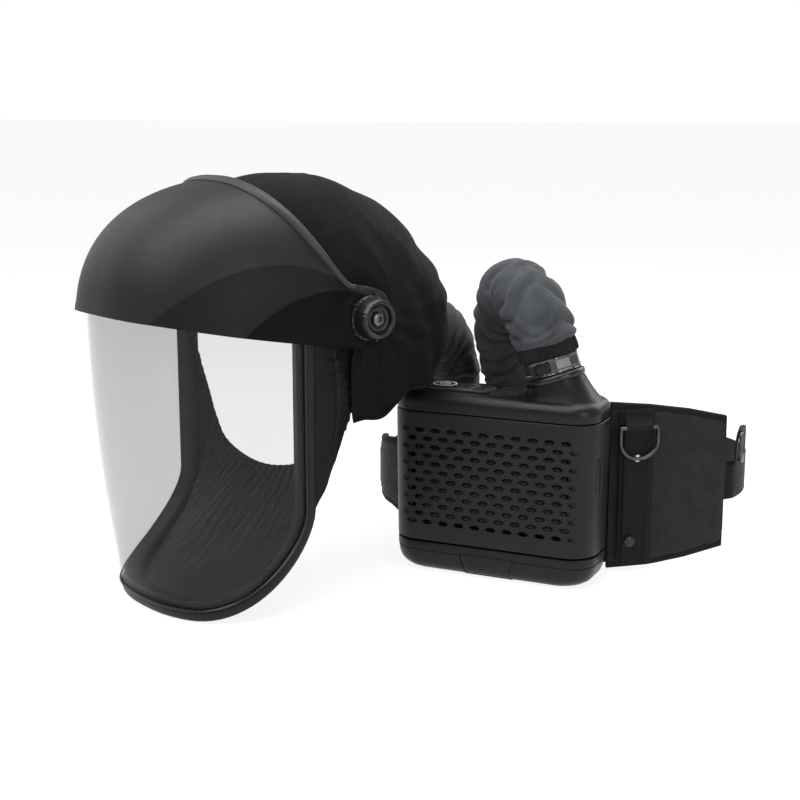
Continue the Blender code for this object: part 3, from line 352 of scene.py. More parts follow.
def tube(rings, us=None, vs=None, closed=False):
    """Rings of equal length joined in turn, with the map measured along and round."""
    count, size = len(rings), len(rings[0])
    verts = [p for ring in rings for p in ring]
    if vs is None:
        vs = [0.0]
        for a, b in zip(rings, rings[1:] + rings[:1]):
            vs.append(vs[-1] + (Vector(b[0]) - Vector(a[0])).length)
    if us is None:
        us, wide = [0.0], rings[count // 2]
        for a, b in zip(wide, wide[1:] + wide[:1]):
            us.append(us[-1] + (Vector(b) - Vector(a)).length)
    faces, uvs = [], []
    for i in range(count if closed else count - 1):
        a, b = i * size, ((i + 1) % count) * size
        for j in range(size):
            k = (j + 1) % size
            faces.append((a + j, a + k, b + k, b + j))
            uvs.append(((us[j], vs[i]), (us[j + 1], vs[i]), (us[j + 1], vs[i + 1]),
                        (us[j], vs[i + 1])))
    if not closed:
        for start in (0, (count - 1) * size):
            faces.append(tuple(range(start, start + size)))
            uvs.append(tuple((Vector(p).x, Vector(p).y) for p in rings[start // size]))
    return verts, faces, uvs


def plate(grid, normals, low, high):
    """A curved plate between two offsets of a grid; an offset may be a field over (i, j)."""
    rows, cols = len(grid), len(grid[0])

    def lifted(i, j, offset):
        return grid[i][j] + normals[i][j] * (offset(i, j) if callable(offset) else offset)

    rings = []
    for i in range(rows):
        rings.append([lifted(i, j, high) for j in range(cols)]
                     + [lifted(i, j, low) for j in reversed(range(cols))])
    return tube(rings)


def normals_of(grid, away_from):
    """A unit normal at each grid point, turned away from a point inside."""
    rows, cols = len(grid), len(grid[0])
    result = []
    for i in range(rows):
        line = []
        for j in range(cols):
            du = grid[min(i + 1, rows - 1)][j] - grid[max(i - 1, 0)][j]
            dv = grid[i][min(j + 1, cols - 1)] - grid[i][max(j - 1, 0)]
            n = du.cross(dv).normalized()
            line.append(-n if n.dot(grid[i][j] - away_from) < 0 else n)
        result.append(line)
    return result


def smooth_curve(points, count):
    """Points evenly spaced along a Catmull-Rom curve through the given points."""
    pts = [Vector(p) for p in points]
    ends = [pts[0] * 2 - pts[1]] + pts + [pts[-1] * 2 - pts[-2]]
    fine = []
    for i in range(1, len(ends) - 2):
        for k in range(24):
            t = k / 24
            p0, p1, p2, p3 = ends[i - 1:i + 3]
            fine.append(0.5 * (2 * p1 + (p2 - p0) * t + (2 * p0 - 5 * p1 + 4 * p2 - p3) * t * t
                               + (3 * p1 - p0 - 3 * p2 + p3) * t ** 3))
    fine.append(pts[-1])
    run = [0.0]
    for a, b in zip(fine, fine[1:]):
        run.append(run[-1] + (b - a).length)
    result, k = [], 0
    for i in range(count):
        want = run[-1] * i / (count - 1)
        while k < len(run) - 2 and run[k + 1] < want:
            k += 1
        share = (want - run[k]) / max(run[k + 1] - run[k], 1e-9)
        result.append(fine[k].lerp(fine[k + 1], share))
    return result


def rounded_rect(width, depth, radius, steps=12):
    """A rectangle's outline with round corners, centred on the origin."""
    points = []
    for sx, sy, start in ((1, 1, 0), (-1, 1, 90), (-1, -1, 180), (1, -1, 270)):
        cx, cy = sx * (width / 2 - radius), sy * (depth / 2 - radius)
        for i in range(steps + 1):
            a = math.radians(start + 90 * i / steps)
            points.append((cx + radius * math.cos(a), cy + radius * math.sin(a)))
    return points


def turned(profile, sides=72, wobble=None):
    """Rings of a turned shape from (radius, height); wobble(angle, k) scales the radius."""
    rings = []
    for k, (r, z) in enumerate(profile):
        ring = []
        for i in range(sides):
            a = 2 * math.pi * i / sides
            s = wobble(a, k) if wobble else 1.0
            ring.append(Vector((r * s * math.cos(a), r * s * math.sin(a), z)))
        rings.append(ring)
    return rings


def softened(points, rounds=2):
    """Cut a closed outline's corners."""
    for _ in range(rounds):
        cut = []
        for a, b in zip(points, points[1:] + points[:1]):
            cut += [tuple(p * 0.78 + q * 0.22 for p, q in zip(a, b)),
                    tuple(p * 0.22 + q * 0.78 for p, q in zip(a, b))]
        points = cut
    return points


def sweep(path, outline, up=Vector((0, 0, 1))):
    """Rings of an outline (side, up) carried along a path without twist."""
    rings, count = [], len(path)
    for i, p in enumerate(path):
        step = path[min(i + 1, count - 1)] - path[max(i - 1, 0)]
        step.normalize()
        side = step.cross(up).normalized()
        rise = side.cross(step)
        rings.append([p + side * a + rise * b for a, b in outline])
    return rings


def round_outline(radius, sides=10):
    return [(radius * math.cos(2 * math.pi * k / sides),
             radius * math.sin(2 * math.pi * k / sides)) for k in range(sides)]


def smooth_step(low, high, value):
    """0 below low, 1 above high and an even ease between them."""
    t = min(max((value - low) / (high - low), 0.0), 1.0)
    return t * t * (3 - 2 * t)


def block(name, low, high, bevel, mat, body, stands_for=(), at=None, corner=0.0):
    """A box with rounded upright corners and a bevelled top and bottom edge."""
    w, d = high[0] - low[0], high[1] - low[1]
    cx, cy = (low[0] + high[0]) / 2, (low[1] + high[1]) / 2
    corner = max(corner, bevel * 1.05)
    rings = []
    for inset, z in ((bevel, low[2]), (bevel * 0.3, low[2] + bevel * 0.3), (0, low[2] + bevel),
                     (0, high[2] - bevel), (bevel * 0.3, high[2] - bevel * 0.3),
                     (bevel, high[2])):
        rings.append([Vector((cx + x, cy + y, z)) for x, y in
                      rounded_rect(w - 2 * inset, d - 2 * inset, corner - inset, 5)])
    shape = tube(rings)
    return piece(name, shape, mat, body, stands_for, at)


# ---- camera, light and floor ------------------------------------------------------------------
LIGHT_LEVEL, SEEN_LEVEL = 0.42, 1.0       # the studio's world as light, and as the camera sees it
FLOOR_REACH, FLOOR_GLOW = 40, 0.86


def set_stage():
    """A white studio: the camera, a world, five soft lights and a pale floor."""
    camera = bpy.data.objects.new("camera", bpy.data.cameras.new("camera"))
    camera.location = (0.4713, -1.2399, 0.439)
    camera.rotation_euler = Euler((math.radians(78.4), 0, math.radians(25)))
    camera.data.lens = 64.17
    camera.data.sensor_width = 36
    bpy.context.scene.collection.objects.link(camera)
    bpy.context.scene.camera = camera

    world = bpy.data.worlds.new("studio")
    world.use_nodes = True
    sky = world.node_tree.nodes["Background"]
    sky.inputs[0].default_value = (1, 1, 1, 1)
    path = world.node_tree.nodes.new("ShaderNodeLightPath")
    level = world.node_tree.nodes.new("ShaderNodeMapRange")
    level.inputs["To Min"].default_value = LIGHT_LEVEL
    level.inputs["To Max"].default_value = SEEN_LEVEL
    world.node_tree.links.new(path.outputs["Is Camera Ray"], level.inputs["Value"])
    world.node_tree.links.new(level.outputs[0], sky.inputs[1])
    bpy.context.scene.world = world
    bpy.context.scene.view_settings.view_transform = "Standard"

    for name, at, aim, size, power in (
            ("key", (-0.5, -1.0, 1.8), (-0.05, 0, 0.2), 1.7, 34),
            ("fill", (1.7, -1.0, 0.8), (0, 0, 0.15), 0.9, 9),
            ("top", (0.1, 0.2, 1.9), (0, 0, 0.1), 1.4, 26),
            ("back", (0.7, 1.6, 1.2), (0, 0, 0.15), 1.2, 14),
            ("left", (-1.6, 0.1, 1.1), (-0.1, -0.1, 0.2), 1.5, 8)):
        light = bpy.data.lights.new(name, "AREA")
        light.size, light.energy = size, power
        lamp = bpy.data.objects.new(name, light)
        lamp.location = at
        lamp.rotation_euler = (Vector(aim) - Vector(at)).to_track_quat("-Z", "Y").to_euler()
        bpy.context.scene.collection.objects.link(lamp)

    floor_mesh = bpy.data.meshes.new("floor")
    corners = [(x * FLOOR_REACH, y * FLOOR_REACH, 0) for x, y in
               ((-1, -1), (1, -1), (1, 1), (-1, 1))]
    floor_mesh.from_pydata(corners, [], [(0, 1, 2, 3)])
    floor = bpy.data.objects.new("floor", floor_mesh)
    bpy.context.scene.collection.objects.link(floor)
    pale = Finish("floor_pale", (0.22, 0.22, 0.22), 0.9, Specular_IOR_Level=0.0)
    pale.put("Emission Color", (1, 1, 1, 1))
    pale.put("Emission Strength", FLOOR_GLOW)
    floor.data.materials.append(pale.mat)


set_stage()


# ---- hose --------------------------------------------------------------------------------------
def hose_frames(points):
    """A side and an up direction at each point, carried along without twist."""
    frames, side = [], None
    for i in range(len(points)):
        step = (points[min(i + 1, len(points) - 1)] - points[max(i - 1, 0)]).normalized()
        if side is None:
            side = step.cross(Vector((0, 0, 1))).normalized()
        side = (side - step * side.dot(step)).normalized()
        frames.append((side, step.cross(side).normalized()))
    return frames


SLEEVE_FLOOR = 0.4                        # the sleeve lies flat on the ground below this height


def make_hose():
    """The hose's loose cloth sleeve, with its bunched folds, and the knit cuff at the blower."""
    rings_n, sides = 420, 72
    path = smooth_curve(HOSE_ROUTE, rings_n)
    run = [0.0]
    for a, b in zip(path, path[1:]):
        run.append(run[-1] + (b - a).length)
    length = run[-1]
    frames = hose_frames(path)
    rings = []
    for i, (p, (side, up)) in enumerate(zip(path, frames)):
        s = run[i]
        near = max(min(i, rings_n - 9), 8)
        bend = ((path[near + 8] - path[near]).normalized()
                - (path[near] - path[near - 8]).normalized())
        ease = smooth_step(0, 16, s) * smooth_step(0, 13, length - s)
        ring = []
        for k in range(sides):
            a = 2 * math.pi * k / sides
            out = side * math.cos(a) + up * math.sin(a)
            inner = max(out.dot(bend) * 4.0, 0.0)
            here = Vector((math.cos(a), math.sin(a), 0))
            drift = noise.noise(here * 0.75 + Vector((0, 0, s / 46)))
            lean = noise.noise(here * 0.9 + Vector((30, 0, s / 27)))
            lobe = abs(math.sin(math.pi * (s / 19.5 + 1.5 * drift))) ** 0.75
            pleat = abs(math.sin(math.pi * (s / 11.5 + 1.9 * lean))) ** 0.8
            share = smooth_step(-0.25, 0.3, noise.noise(here * 0.8 + Vector((0, 60, s / 33))))
            puff = (5.6 + 2.0 * inner) * (lobe - 0.55) * (1 - 0.45 * share) \
                + 3.0 * (pleat - 0.6) * share + 1.5 * lean
            r = HOSE_D / 2 + 1.0 + ease * puff - (1 - ease) * 1.6
            q = p + out * r
            q.z = max(q.z, SLEEVE_FLOOR)
            ring.append(q)
        rings.append(ring)
    us = [2 * math.pi * HOSE_D / 2 * k / sides for k in range(sides + 1)]
    shape = tube(rings, us=us, vs=run + [length])
    sleeve = piece("hose_sleeve", shape, SLEEVE_MAT, CARRIER, ["breathing_hose"],
                   angle=70)

    profile = [(26.8, 44.9), (27.6, 45.5), (28.3, 47), (28.4, 51), (28.1, 55), (27.6, 57.4),
               (26.6, 57.8), (26.0, 57), (26.0, 45.2)]
    rings = turned(profile, 144, lambda a, k: 1 + 0.012 * math.cos(72 * a) * (0 < k < 6))
    shape = tube(rings, closed=True)
    cuff = piece("knit_cuff", shape, CUFF_MAT, CARRIER, ["hose_cuff_blower"],
                 NECK)
    [tuple(c * MM for c in p) for p in smooth_curve(HOSE_ROUTE, 36)]


make_hose()


# ---- visor and brow -----------------------------------------------------------------------------
def on_shell(direction):
    """The point of the brow's rounded shell in a direction from its centre."""
    d = direction.normalized()
    total = sum((abs(d[i]) / SHELL_SEMI[i]) ** SHELL_POWER for i in range(3))
    return SHELL_CENTRE + d * total ** (-1 / SHELL_POWER)


def mirrored(half):
    """An edge from the left ear to the middle, carried on to the right ear."""
    return half + [(-x, y, z) for x, y, z in reversed(half[:-1])]


BROW_EDGE = mirrored([(111, 27, 257), (111.5, 13, 237), (111, -8, 232), (109, -45, 238),
                      (98, -100, 248), (72, -155, 259), (36, -188, 265), (0, -200, 267)])
CROWN_EDGE = mirrored([(111, 27, 259), (110.5, 18, 279), (109.5, -3, 287), (107, -21, 291),
                       (100, -38, 312), (80, -58, 342), (45, -74, 365), (0, -81, 378)])


def shell_patch(across, u0, u1, v0, v1, along_count):
    """Grid on the shell between the brow edge (v=0) and the crown edge (v=1)."""
    brow, crown = smooth_curve(BROW_EDGE, 1001), smooth_curve(CROWN_EDGE, 1001)
    grid = []
    for i in range(along_count + 1):
        k = round(1000 * (u0 + (u1 - u0) * i / along_count))
        a = (brow[k] - SHELL_CENTRE).normalized()
        b = (crown[k] - SHELL_CENTRE).normalized()
        near = (brow[k] - crown[k]).length < 0.1
        grid.append([on_shell(a if near else a.slerp(b, v0 + (v1 - v0) * j / across))
                     for j in range(across + 1)])
    return grid



def crescent_relief(p):
    """How far the two overlapping crescent steps sink each side of the brow."""
    side = smooth_step(28, 62, abs(p.x))
    sunk = sum(deep * smooth_step(-1.3, 1.3, r - math.hypot(p.y - y, p.z - z))
               for y, z, r, deep in CRESCENTS)
    ear = smooth_step(-1.5, 1.5, 27 - math.hypot(p.y - 1, p.z - PIVOT_Z))
    return 1.4 + ear * 1.2 - side * sunk * (1 - ear)


def make_brow():
    """The brow's shell with its crescents, and the strip along its crown edge."""
    rows, cols = 220, 48
    grid = shell_patch(cols, 0, 1, 0, 1, rows)
    normals = normals_of(grid, SHELL_CENTRE)

    def outer(i, j):
        lip = 1.1 * (1 - smooth_step(0.02, 0.05, j / cols))
        crown = 0.5 * (1 - smooth_step(0.0, 0.04, 1 - j / cols))
        return crescent_relief(grid[i][j]) - 1.0 + 0.6 * lip - crown

    shape = plate(grid, normals, -2.6, outer)
    piece("brow_dome", shape, SHELL_MAT, VISOR, ["brow_shell"], HELMET, angle=50)

    grid = shell_patch(10, 0.12, 0.88, 0.925, 1.0, 200)
    normals = normals_of(grid, SHELL_CENTRE)
    profile = (0.7, 1.9, 2.8, 3.2, 3.2, 3.1, 3.1, 3.2, 3.1, 2.4, 1.0)
    taper = [smooth_step(0, 0.05, i / 200) * smooth_step(0, 0.05, 1 - i / 200)
             for i in range(201)]
    shape = plate(grid, normals, 0.15,
                              lambda i, j: 0.6 + profile[j] * (0.25 + 0.75 * taper[i]))
    piece("crown_strip", shape, TRIM_MAT, VISOR, ["crown_trim"], HELMET)


def visor_point(t, z):
    """A point of the visor's curved sheet: t runs -1 to 1 from ear to ear."""
    a = t * math.pi / 2
    full = 2 / VISOR_POWER
    drop = (266 - z) / 250
    reach = VISOR_REACH - VISOR_TAPER * drop * abs(drop)
    y = -(VISOR_SIDE + (reach - VISOR_SIDE) * max(math.cos(a), 0) ** full)
    return Vector((VISOR_HALF * math.copysign(abs(math.sin(a)) ** full, a), y, z))


def visor_normal(t, z):
    """The sheet's unit normal towards the face."""
    du = visor_point(t + 0.01, z) - visor_point(t - 0.01, z)
    dz = visor_point(t, z + 1) - visor_point(t, z - 1)
    return du.cross(dz).normalized() * -1


def visor_limit(z):
    """How far round the sheet reaches at a height, inside its rounded lower corners."""
    rise = VISOR_BOTTOM + VISOR_CORNER - z
    if rise <= 0:
        return 1.0
    inset = 1 - math.sqrt(max(1 - (rise / VISOR_CORNER) ** 2, 0))
    return 1 - inset * VISOR_CORNER_RUN / VISOR_ARC


def visor_outline(top):
    """The sheet's edge (t, z) from one ear down, round the chin and up to the other."""
    corner_steps, side_steps, bottom_steps = 22, 22, 30
    base = VISOR_BOTTOM + VISOR_CORNER
    side = [(1.0, top + (base - top) * i / side_steps) for i in range(side_steps)]
    for i in range(corner_steps + 1):
        a = math.pi / 2 * i / corner_steps
        side.append((1 - VISOR_CORNER_RUN * (1 - math.cos(a)) / VISOR_ARC,
                     base - VISOR_CORNER * math.sin(a)))
    end_t = side[-1][0]
    bottom = [(end_t * (1 - 2 * i / bottom_steps), VISOR_BOTTOM) for i in range(1, bottom_steps)]
    return side + bottom + [(-t, z) for t, z in reversed(side)]


def visor_sweep(top, profile):
    """Rings of a profile (outward, inward) carried along the sheet's edge."""
    outline = visor_outline(top)
    points = [visor_point(t, z) for t, z in outline]
    rings = []
    for i, (t, z) in enumerate(outline):
        tangent = (points[min(i + 1, len(points) - 1)] - points[max(i - 1, 0)]).normalized()
        inward = visor_normal(t, z)
        outward = tangent.cross(inward).normalized()
        if outward.dot(points[i] - Vector((0, -150, 170))) < 0:
            outward = -outward
        rings.append([points[i] + outward * a + inward * b for a, b in profile])
    return rings


def make_lens():
    """The clear sheet, its rim and bead, and the light trim under the brow."""
    cols, base = 96, VISOR_BOTTOM + VISOR_CORNER
    heights = [base - VISOR_CORNER * math.cos(math.pi / 56 * i) for i in range(29)]
    heights += [base + (VISOR_TOP - base) * i / 20 for i in range(1, 21)]
    turns = [[visor_limit(z) * (1 - 2 * j / cols) for j in range(cols + 1)] for z in heights]
    grid = [[visor_point(t, z) for t in row] for z, row in zip(heights, turns)]
    normals = [[visor_normal(t, z) for t in row] for z, row in zip(heights, turns)]
    shape = plate(grid, normals, 0, 1.6)
    piece("face_lens", shape, LENS_MAT, VISOR, ["visor_lens"], HELMET,
          angle=60)

    profile = softened([(-6, 2.8), (2, 2.8), (2, -1), (6, -1.2), (11, -0.5), (13, 6),
                        (12, 12), (10, FRAME_DEPTH), (-1, FRAME_DEPTH), (-4, 8)], 2)
    rings = visor_sweep(FRAME_TOP, profile)
    shape = tube(rings)
    piece("visor_rim", shape, RIM_MAT, VISOR, ["visor_frame"], HELMET, angle=50)
    edge = smooth_curve(BROW_EDGE, 401)[130:271]
    lip = [p + Vector((0, 1.6, -0.9)) for p in edge]
    shape = tube(sweep(lip, [(-1.4, -0.6), (1.4, -0.6), (1.4, 0.6), (-1.4, 0.6)]))
    piece("brow_under_trim", shape, MARK_MAT, VISOR, at=HELMET)
    bead = visor_sweep(FRAME_TOP, [(0.6, -1.4)])
    path = [ring[0] for ring in bead]
    shape = tube(sweep(path, round_outline(1.1, 8), up=Vector((0, -1, 0.02))))
    piece("lens_bead", shape, KNOB_MAT, VISOR, at=HELMET)


def make_knobs():
    """The faceted clamp dials on both ears, with five lugs and a hexagon screw each."""
    lip = [(19.0, 0), (19.9, 0.4), (19.9, 1.9), (19.3, 2.3), (19.6, 3.0), (19.3, 7.0),
           (18.5, 12.0), (17.7, 15.6), (17.0, 16.7), (16.0, 17.0), (14.2, 17.0), (13.4, 16.5),
           (12.9, 15.6), (12.0, 12.2), (10.6, 11.6), (10.3, 13.0), (8.6, 13.0), (8.3, 11.6),
           (7.4, 11.2), (0.01, 11.2)]

    def flats(a, k):
        if not 4 <= k <= 9:
            return 1.0
        a = (a % math.radians(36)) - math.radians(18)
        groove = 0.05 * math.exp(-((abs(a) - math.radians(18)) / 0.05) ** 2)
        return 0.955 / math.cos(a) - groove
    for side, sign in (("left", 1), ("right", -1)):
        turn = HELMET @ Matrix.Translation((sign * (EAR_X + 1.2), 0, PIVOT_Z)) \
            @ Matrix.Rotation(sign * math.pi / 2, 4, "Y")
        body = "clamp_knob_" + side
        verts, faces, uvs = tube(turned(lip, 180, flats))
        for lug in range(5):
            a, r = math.radians(72 * lug + 18), 20.4
            low = len(verts)
            for z in (0.8, 3.4):
                for dr, da in ((-2, -0.09), (1.5, -0.06), (1.9, 0), (1.5, 0.06), (-2, 0.09)):
                    verts.append(Vector(((r + dr) * math.cos(a + da),
                                         (r + dr) * math.sin(a + da), z)))
            for j in range(5):
                n = (j + 1) % 5
                faces.append((low + j, low + n, low + 5 + n, low + 5 + j))
                uvs.append(((0, 0), (1, 0), (1, 1), (0, 1)))
            for start in (low, low + 5):
                faces.append(tuple(range(start, start + 5)))
                uvs.append(((0, 0), (1, 0), (1, 1), (0, 1), (0, 1)))
        shape = (verts, faces, uvs)
        piece("clamp_dial_" + side, shape, KNOB_MAT, body, ["knob_" + side],
              turn, angle=24)
        hexed = []
        for k, (r, z) in enumerate(((5.9, 11.3), (6.1, 12.8), (5.6, 14.2), (4.4, 15.0), (3.0, 15.2),
                                    (2.8, 14.8), (2.7, 13.0), (0.01, 12.8))):
            hexed += turned([(r, z)], 36, (lambda a, _, k=k: 0.87 / math.cos(
                (a % (math.pi / 3)) - math.pi / 6) if k > 3 else 1.0))
        shape = tube(hexed)
        piece("clamp_screw_" + side, shape, ZINC_MAT, body, ["knob_screw_" + side],
              turn, angle=30)


FACE_EDGE = [(84, -4, 232), (86, 2, 205), (85, 0, 175), (78, -10, 145), (50, -30, 120),
             (0, -42, 112), (-50, -46, 124), (-72, -46, 146), (-78, -50, 172), (-79, -58, 202),
             (-79, -66, 232)]


def make_face_seal():
    """Satin cloth gathered from the rim to the elastic round the face."""
    places = [(8, FRAME_DEPTH - 2), (9, FRAME_DEPTH - 2.5), (11, FRAME_DEPTH - 8)]
    raw = []
    for chin, corner, side in visor_sweep(FRAME_TOP, places):
        rise = min(max((chin.z - 15) / 70, 0), 1)
        raw.append(chin.lerp(corner, 2 * rise) if rise < 0.5 else
                   corner.lerp(side, (2 * rise - 1) * (corner.x > 0)))
    count, deep = 460, 40
    front = smooth_curve(raw, count)
    elastic = smooth_curve(FACE_EDGE, count)
    plain = []
    for a, b in zip(front, elastic):
        row = []
        for k in range(deep + 1):
            v = k / deep
            p = a.lerp(b, v)
            bulge = math.sin(math.pi * v) * 6 * min(max(0.5 + p.x / 80, 0), 1)
            away = Vector((p.x * 0.9, 0, min(p.z - 150, 0) * 0.8))
            row.append(p + (away.normalized() * bulge if away.length > 0 else Vector()))
        plain.append(row)
    normals = normals_of(plain, Vector((0, -70, 200)))
    grid = []
    for i, row in enumerate(plain):
        line = []
        for k, p in enumerate(row):
            v, s = k / deep, i / count
            drift = noise.noise(Vector((s * 9, v * 2.5, 3)))
            gather = math.sin(s * 2 * math.pi * 46 + 5 * drift + v * 2)
            small = math.sin(s * 2 * math.pi * 83 - 7 * drift)
            broad = noise.noise(Vector((s * 14, v * 3.2 + s * 3, 11)))
            hold = smooth_step(0, 0.12, v) * (1 - 0.65 * smooth_step(0.93, 1, v))
            lift = (1.1 * gather + 0.5 * small) * v ** 1.6 + 2.2 * broad
            lift -= 1.4 * math.exp(-((v - 0.55 - 0.06 * drift) / 0.025) ** 2)
            line.append(p + normals[i][k] * lift * hold)
        grid.append(line)
    cloth = normals_of(grid, Vector((0, -70, 200)))
    shape = plate(grid, cloth, -0.9, 0)
    seal = piece("face_seal_cloth", shape, SEAL_MAT, VISOR, ["face_seal"],
                 HELMET, angle=80)
    edge = [row[-1] for row in grid]
    shape = tube(sweep(edge, round_outline(1.7, 10), up=Vector((0, 1, 0.05))))
    hem = piece("face_seal_elastic", shape, SEAL_MAT, VISOR, at=HELMET, angle=80)


# ---- hood --------------------------------------------------------------------------------------
# How far the hood reaches from the ears' axis, by angle from the brow over the crown.
HOOD_REACH = [(48, 131), (60, 128), (90, 121), (120, 118), (150, 125), (170, 142), (180, 151),
              (200, 160), (220, 157), (245, 148), (285, 140)]
HOOD_HALF, HOOD_POWER, HOOD_SPLIT = 101, 2.5, 180.0
HOOD_ARCH = math.radians(18)
HOOD_HEM, HOOD_HEM_SIDE = 75, 97


def hood_reach(angle):
    """HOOD_REACH read at any angle."""
    for (a0, r0), (a1, r1) in zip(HOOD_REACH, HOOD_REACH[1:]):
        if angle <= a1:
            share = (angle - a0) / (a1 - a0)
            share = share * share * (3 - 2 * share)
            return r0 + (r1 - r0) * share
    return HOOD_REACH[-1][1]


def hood_point(angle, tilt):
    """A point of the smooth hood; tilt runs sideways from the middle to the ears."""
    a = math.radians(angle)
    power = 2 / HOOD_POWER
    reach = hood_reach(angle) * math.cos(tilt) ** power
    x = HOOD_HALF * math.copysign(abs(math.sin(tilt)) ** power, tilt)
    return Vector((x, -reach * math.cos(a), PIVOT_Z + reach * math.sin(a)))


def crinkle(p, angle, tilt):
    """How far the cloth stands off its smooth shape: creases, a seam and hanging folds."""
    soft = noise.noise(p / 60) * 2.2 + noise.noise(p / 30 + Vector((9, 0, 0))) * 0.7
    bent = Vector((p.x / 70, p.y / 26 + p.z / 60, p.z / 80 + 30))
    ridge = (1 - abs(noise.noise(bent)) * 2.4) * smooth_step(70, 120, angle)
    fold = smooth_step(165, 235, angle)
    hang = math.sin(angle * 0.33 + 2.5 * noise.noise(p / 40)) * 1.8 * fold
    seam = 0.9 * math.exp(-((math.degrees(tilt) - 2) / 0.55) ** 2) * (angle < 182)
    return 1.0 + soft + 1.3 * ridge + hang + seam


def make_hood():
    """The hood over the crown, its flap behind the left ear and its turned hem."""
    ear, front, back = math.radians(84), 49, 268
    far_cols, near_cols = 88, 64
    tilts = [-ear + (HOOD_ARCH + ear) * i / far_cols for i in range(far_cols)]
    tilts += [HOOD_ARCH + (ear - HOOD_ARCH) * i / near_cols for i in range(near_cols + 1)]
    crown_rows, flap_rows = 110, 80
    centre = HELMET @ Vector((0, 0, PIVOT_Z))

    def spot(angle, tilt):
        p = hood_point(angle, tilt)
        d = 0.004
        du = hood_point(angle + 0.5, tilt) - hood_point(angle - 0.5, tilt)
        dv = hood_point(angle, min(tilt + d, ear)) - hood_point(angle, max(tilt - d, -ear))
        n = du.cross(dv).normalized()
        if n.dot(p - Vector((0, 0, PIVOT_Z))) < 0:
            n = -n
        near_edge = smooth_step(49, 62, angle) * smooth_step(0, 6, 84 - abs(math.degrees(tilt)))
        return p + n * (crinkle(p, angle, tilt) - 1.0) * near_edge

    def flap_edge(i):
        """The angle of a row of the flap, and the tilt where the row starts."""
        angle = HOOD_SPLIT + (back - HOOD_SPLIT) * i / flap_rows
        drop = HOOD_HEM + (HOOD_HEM_SIDE - HOOD_HEM) * min(max((angle - 232) / 14, 0), 1)
        share = min(drop / math.sin(math.radians(angle - 180)) / hood_reach(angle), 1)
        return angle, max(HOOD_ARCH, math.acos(share ** (HOOD_POWER / 2)))

    bm = bmesh.new()
    layer = bm.loops.layers.uv.new("cloth")
    marks = {}

    def vert(angle, tilt):
        made = bm.verts.new((HELMET @ spot(angle, tilt)) * MM)
        marks[made] = (math.radians(angle) * 0.14, tilt * 0.11)
        return made
    rows = [[vert(front + (HOOD_SPLIT - front) * i / crown_rows, t) for t in tilts]
            for i in range(crown_rows + 1)]
    flap = [rows[-1][far_cols:]]
    for i in range(1, flap_rows + 1):
        angle, low = flap_edge(i)
        lean = 18 * (i / flap_rows) ** 3
        flap.append([vert(angle + lean * j / near_cols, low + (ear - low) * j / near_cols)
                     for j in range(near_cols + 1)])
    for panel in (rows, flap):
        for a, b in zip(panel, panel[1:]):
            for j in range(len(a) - 1):
                made = bm.faces.new((a[j], a[j + 1], b[j + 1], b[j]))
                for loop in made.loops:
                    loop[layer].uv = marks[loop.vert]
    for f in bm.faces:
        f.normal_update()
    bmesh.ops.recalc_face_normals(bm, faces=bm.faces)
    bm.faces.ensure_lookup_table()
    crown = bm.faces[len(bm.faces) // 4]
    if (crown.calc_center_median() / MM - centre).dot(crown.normal) < 0:
        bmesh.ops.reverse_faces(bm, faces=bm.faces)
    mesh = bpy.data.meshes.new("hood_cloth")
    bm.to_mesh(mesh)
    bm.free()
    mesh.shade_smooth()
    hood = settle(bpy.data.objects.new("hood_cloth", mesh), HOOD_MAT, CARRIER, ["hood"])
    thick = hood.modifiers.new("thickness", "SOLIDIFY")
    thick.thickness, thick.offset = 1.4 * MM, -1
    hem_path = [spot(*flap_edge(i)) for i in range(1, flap_rows + 1)]
    hem_path = smooth_curve(hem_path[::6] + [hem_path[-1]], 120)
    hem = softened([(-2.2, -1.2), (2.2, -1.2), (2.2, 1.2), (-2.2, 1.2)], 2)
    shape = tube(sweep(hem_path, hem, up=Vector((1, 0, 0.1))))
    edge = piece("hood_hem", shape, HOOD_MAT, CARRIER, at=HELMET)


def make_ear_gusset():
    """The cloth that closes the corner between the seal and the hood under the left ear."""
    grid = []
    for i in range(41):
        y = -22 + 46 * i / 40
        grid.append([Vector((90.5 + 3.2 * math.sin(math.pi * j / 30)
                             + 1.2 * noise.noise(Vector((y / 9, j / 14, 2))),
                             y + 3 * (1 - j / 30), 196 + 52 * j / 30)) for j in range(31)])
    normals = normals_of(grid, Vector((0, 0, 220)))
    shape = plate(grid, normals, -0.9, 0)
    piece("ear_gusset", shape, HOOD_MAT, CARRIER, at=HELMET,
          angle=80)


def make_head_pads():
    """The brow pad and the nape pad: crowned foam with a quilted groove."""
    rings = []
    for i in range(73):
        a = math.radians(-155 + 130 * i / 72)
        ring = []
        for r, z in softened([(74.6, 270), (74.6, 296), (70.5, 294.5), (69.2, 283),
                              (70.5, 271.5)], 2):
            puff = 0.35 * math.cos(12 * math.radians(130 * i / 72) * 2) * (r < 72)
            ring.append(Vector(((r + puff) * math.cos(a) * 0.98,
                                4 + (r + puff + 16) * math.sin(a), z)))
        rings.append(ring)
    shape = tube(rings)
    pad = piece("brow_pad", shape, FOAM_MAT, CARRIER, ["sweatband"], HELMET, angle=60)
    rings = []
    for t in range(15):
        v = math.sin(math.pi * (t / 14 - 0.5))
        shrink = math.sqrt(max(1 - abs(v) ** 6, 0.02))
        rings.append([Vector((x * shrink, 91.7 + v * 3.6 + 0.3 * math.cos(x / 4) * v,
                              283 + (z * shrink))) for x, z in rounded_rect(66, 27, 7, 8)])
    shape = tube(rings)
    pad = piece("nape_cushion", shape, FOAM_MAT, CARRIER, ["nape_pad"],
                HELMET, angle=60)


make_brow()
make_lens()
make_knobs()
make_face_seal()
make_hood()
make_ear_gusset()
make_head_pads()


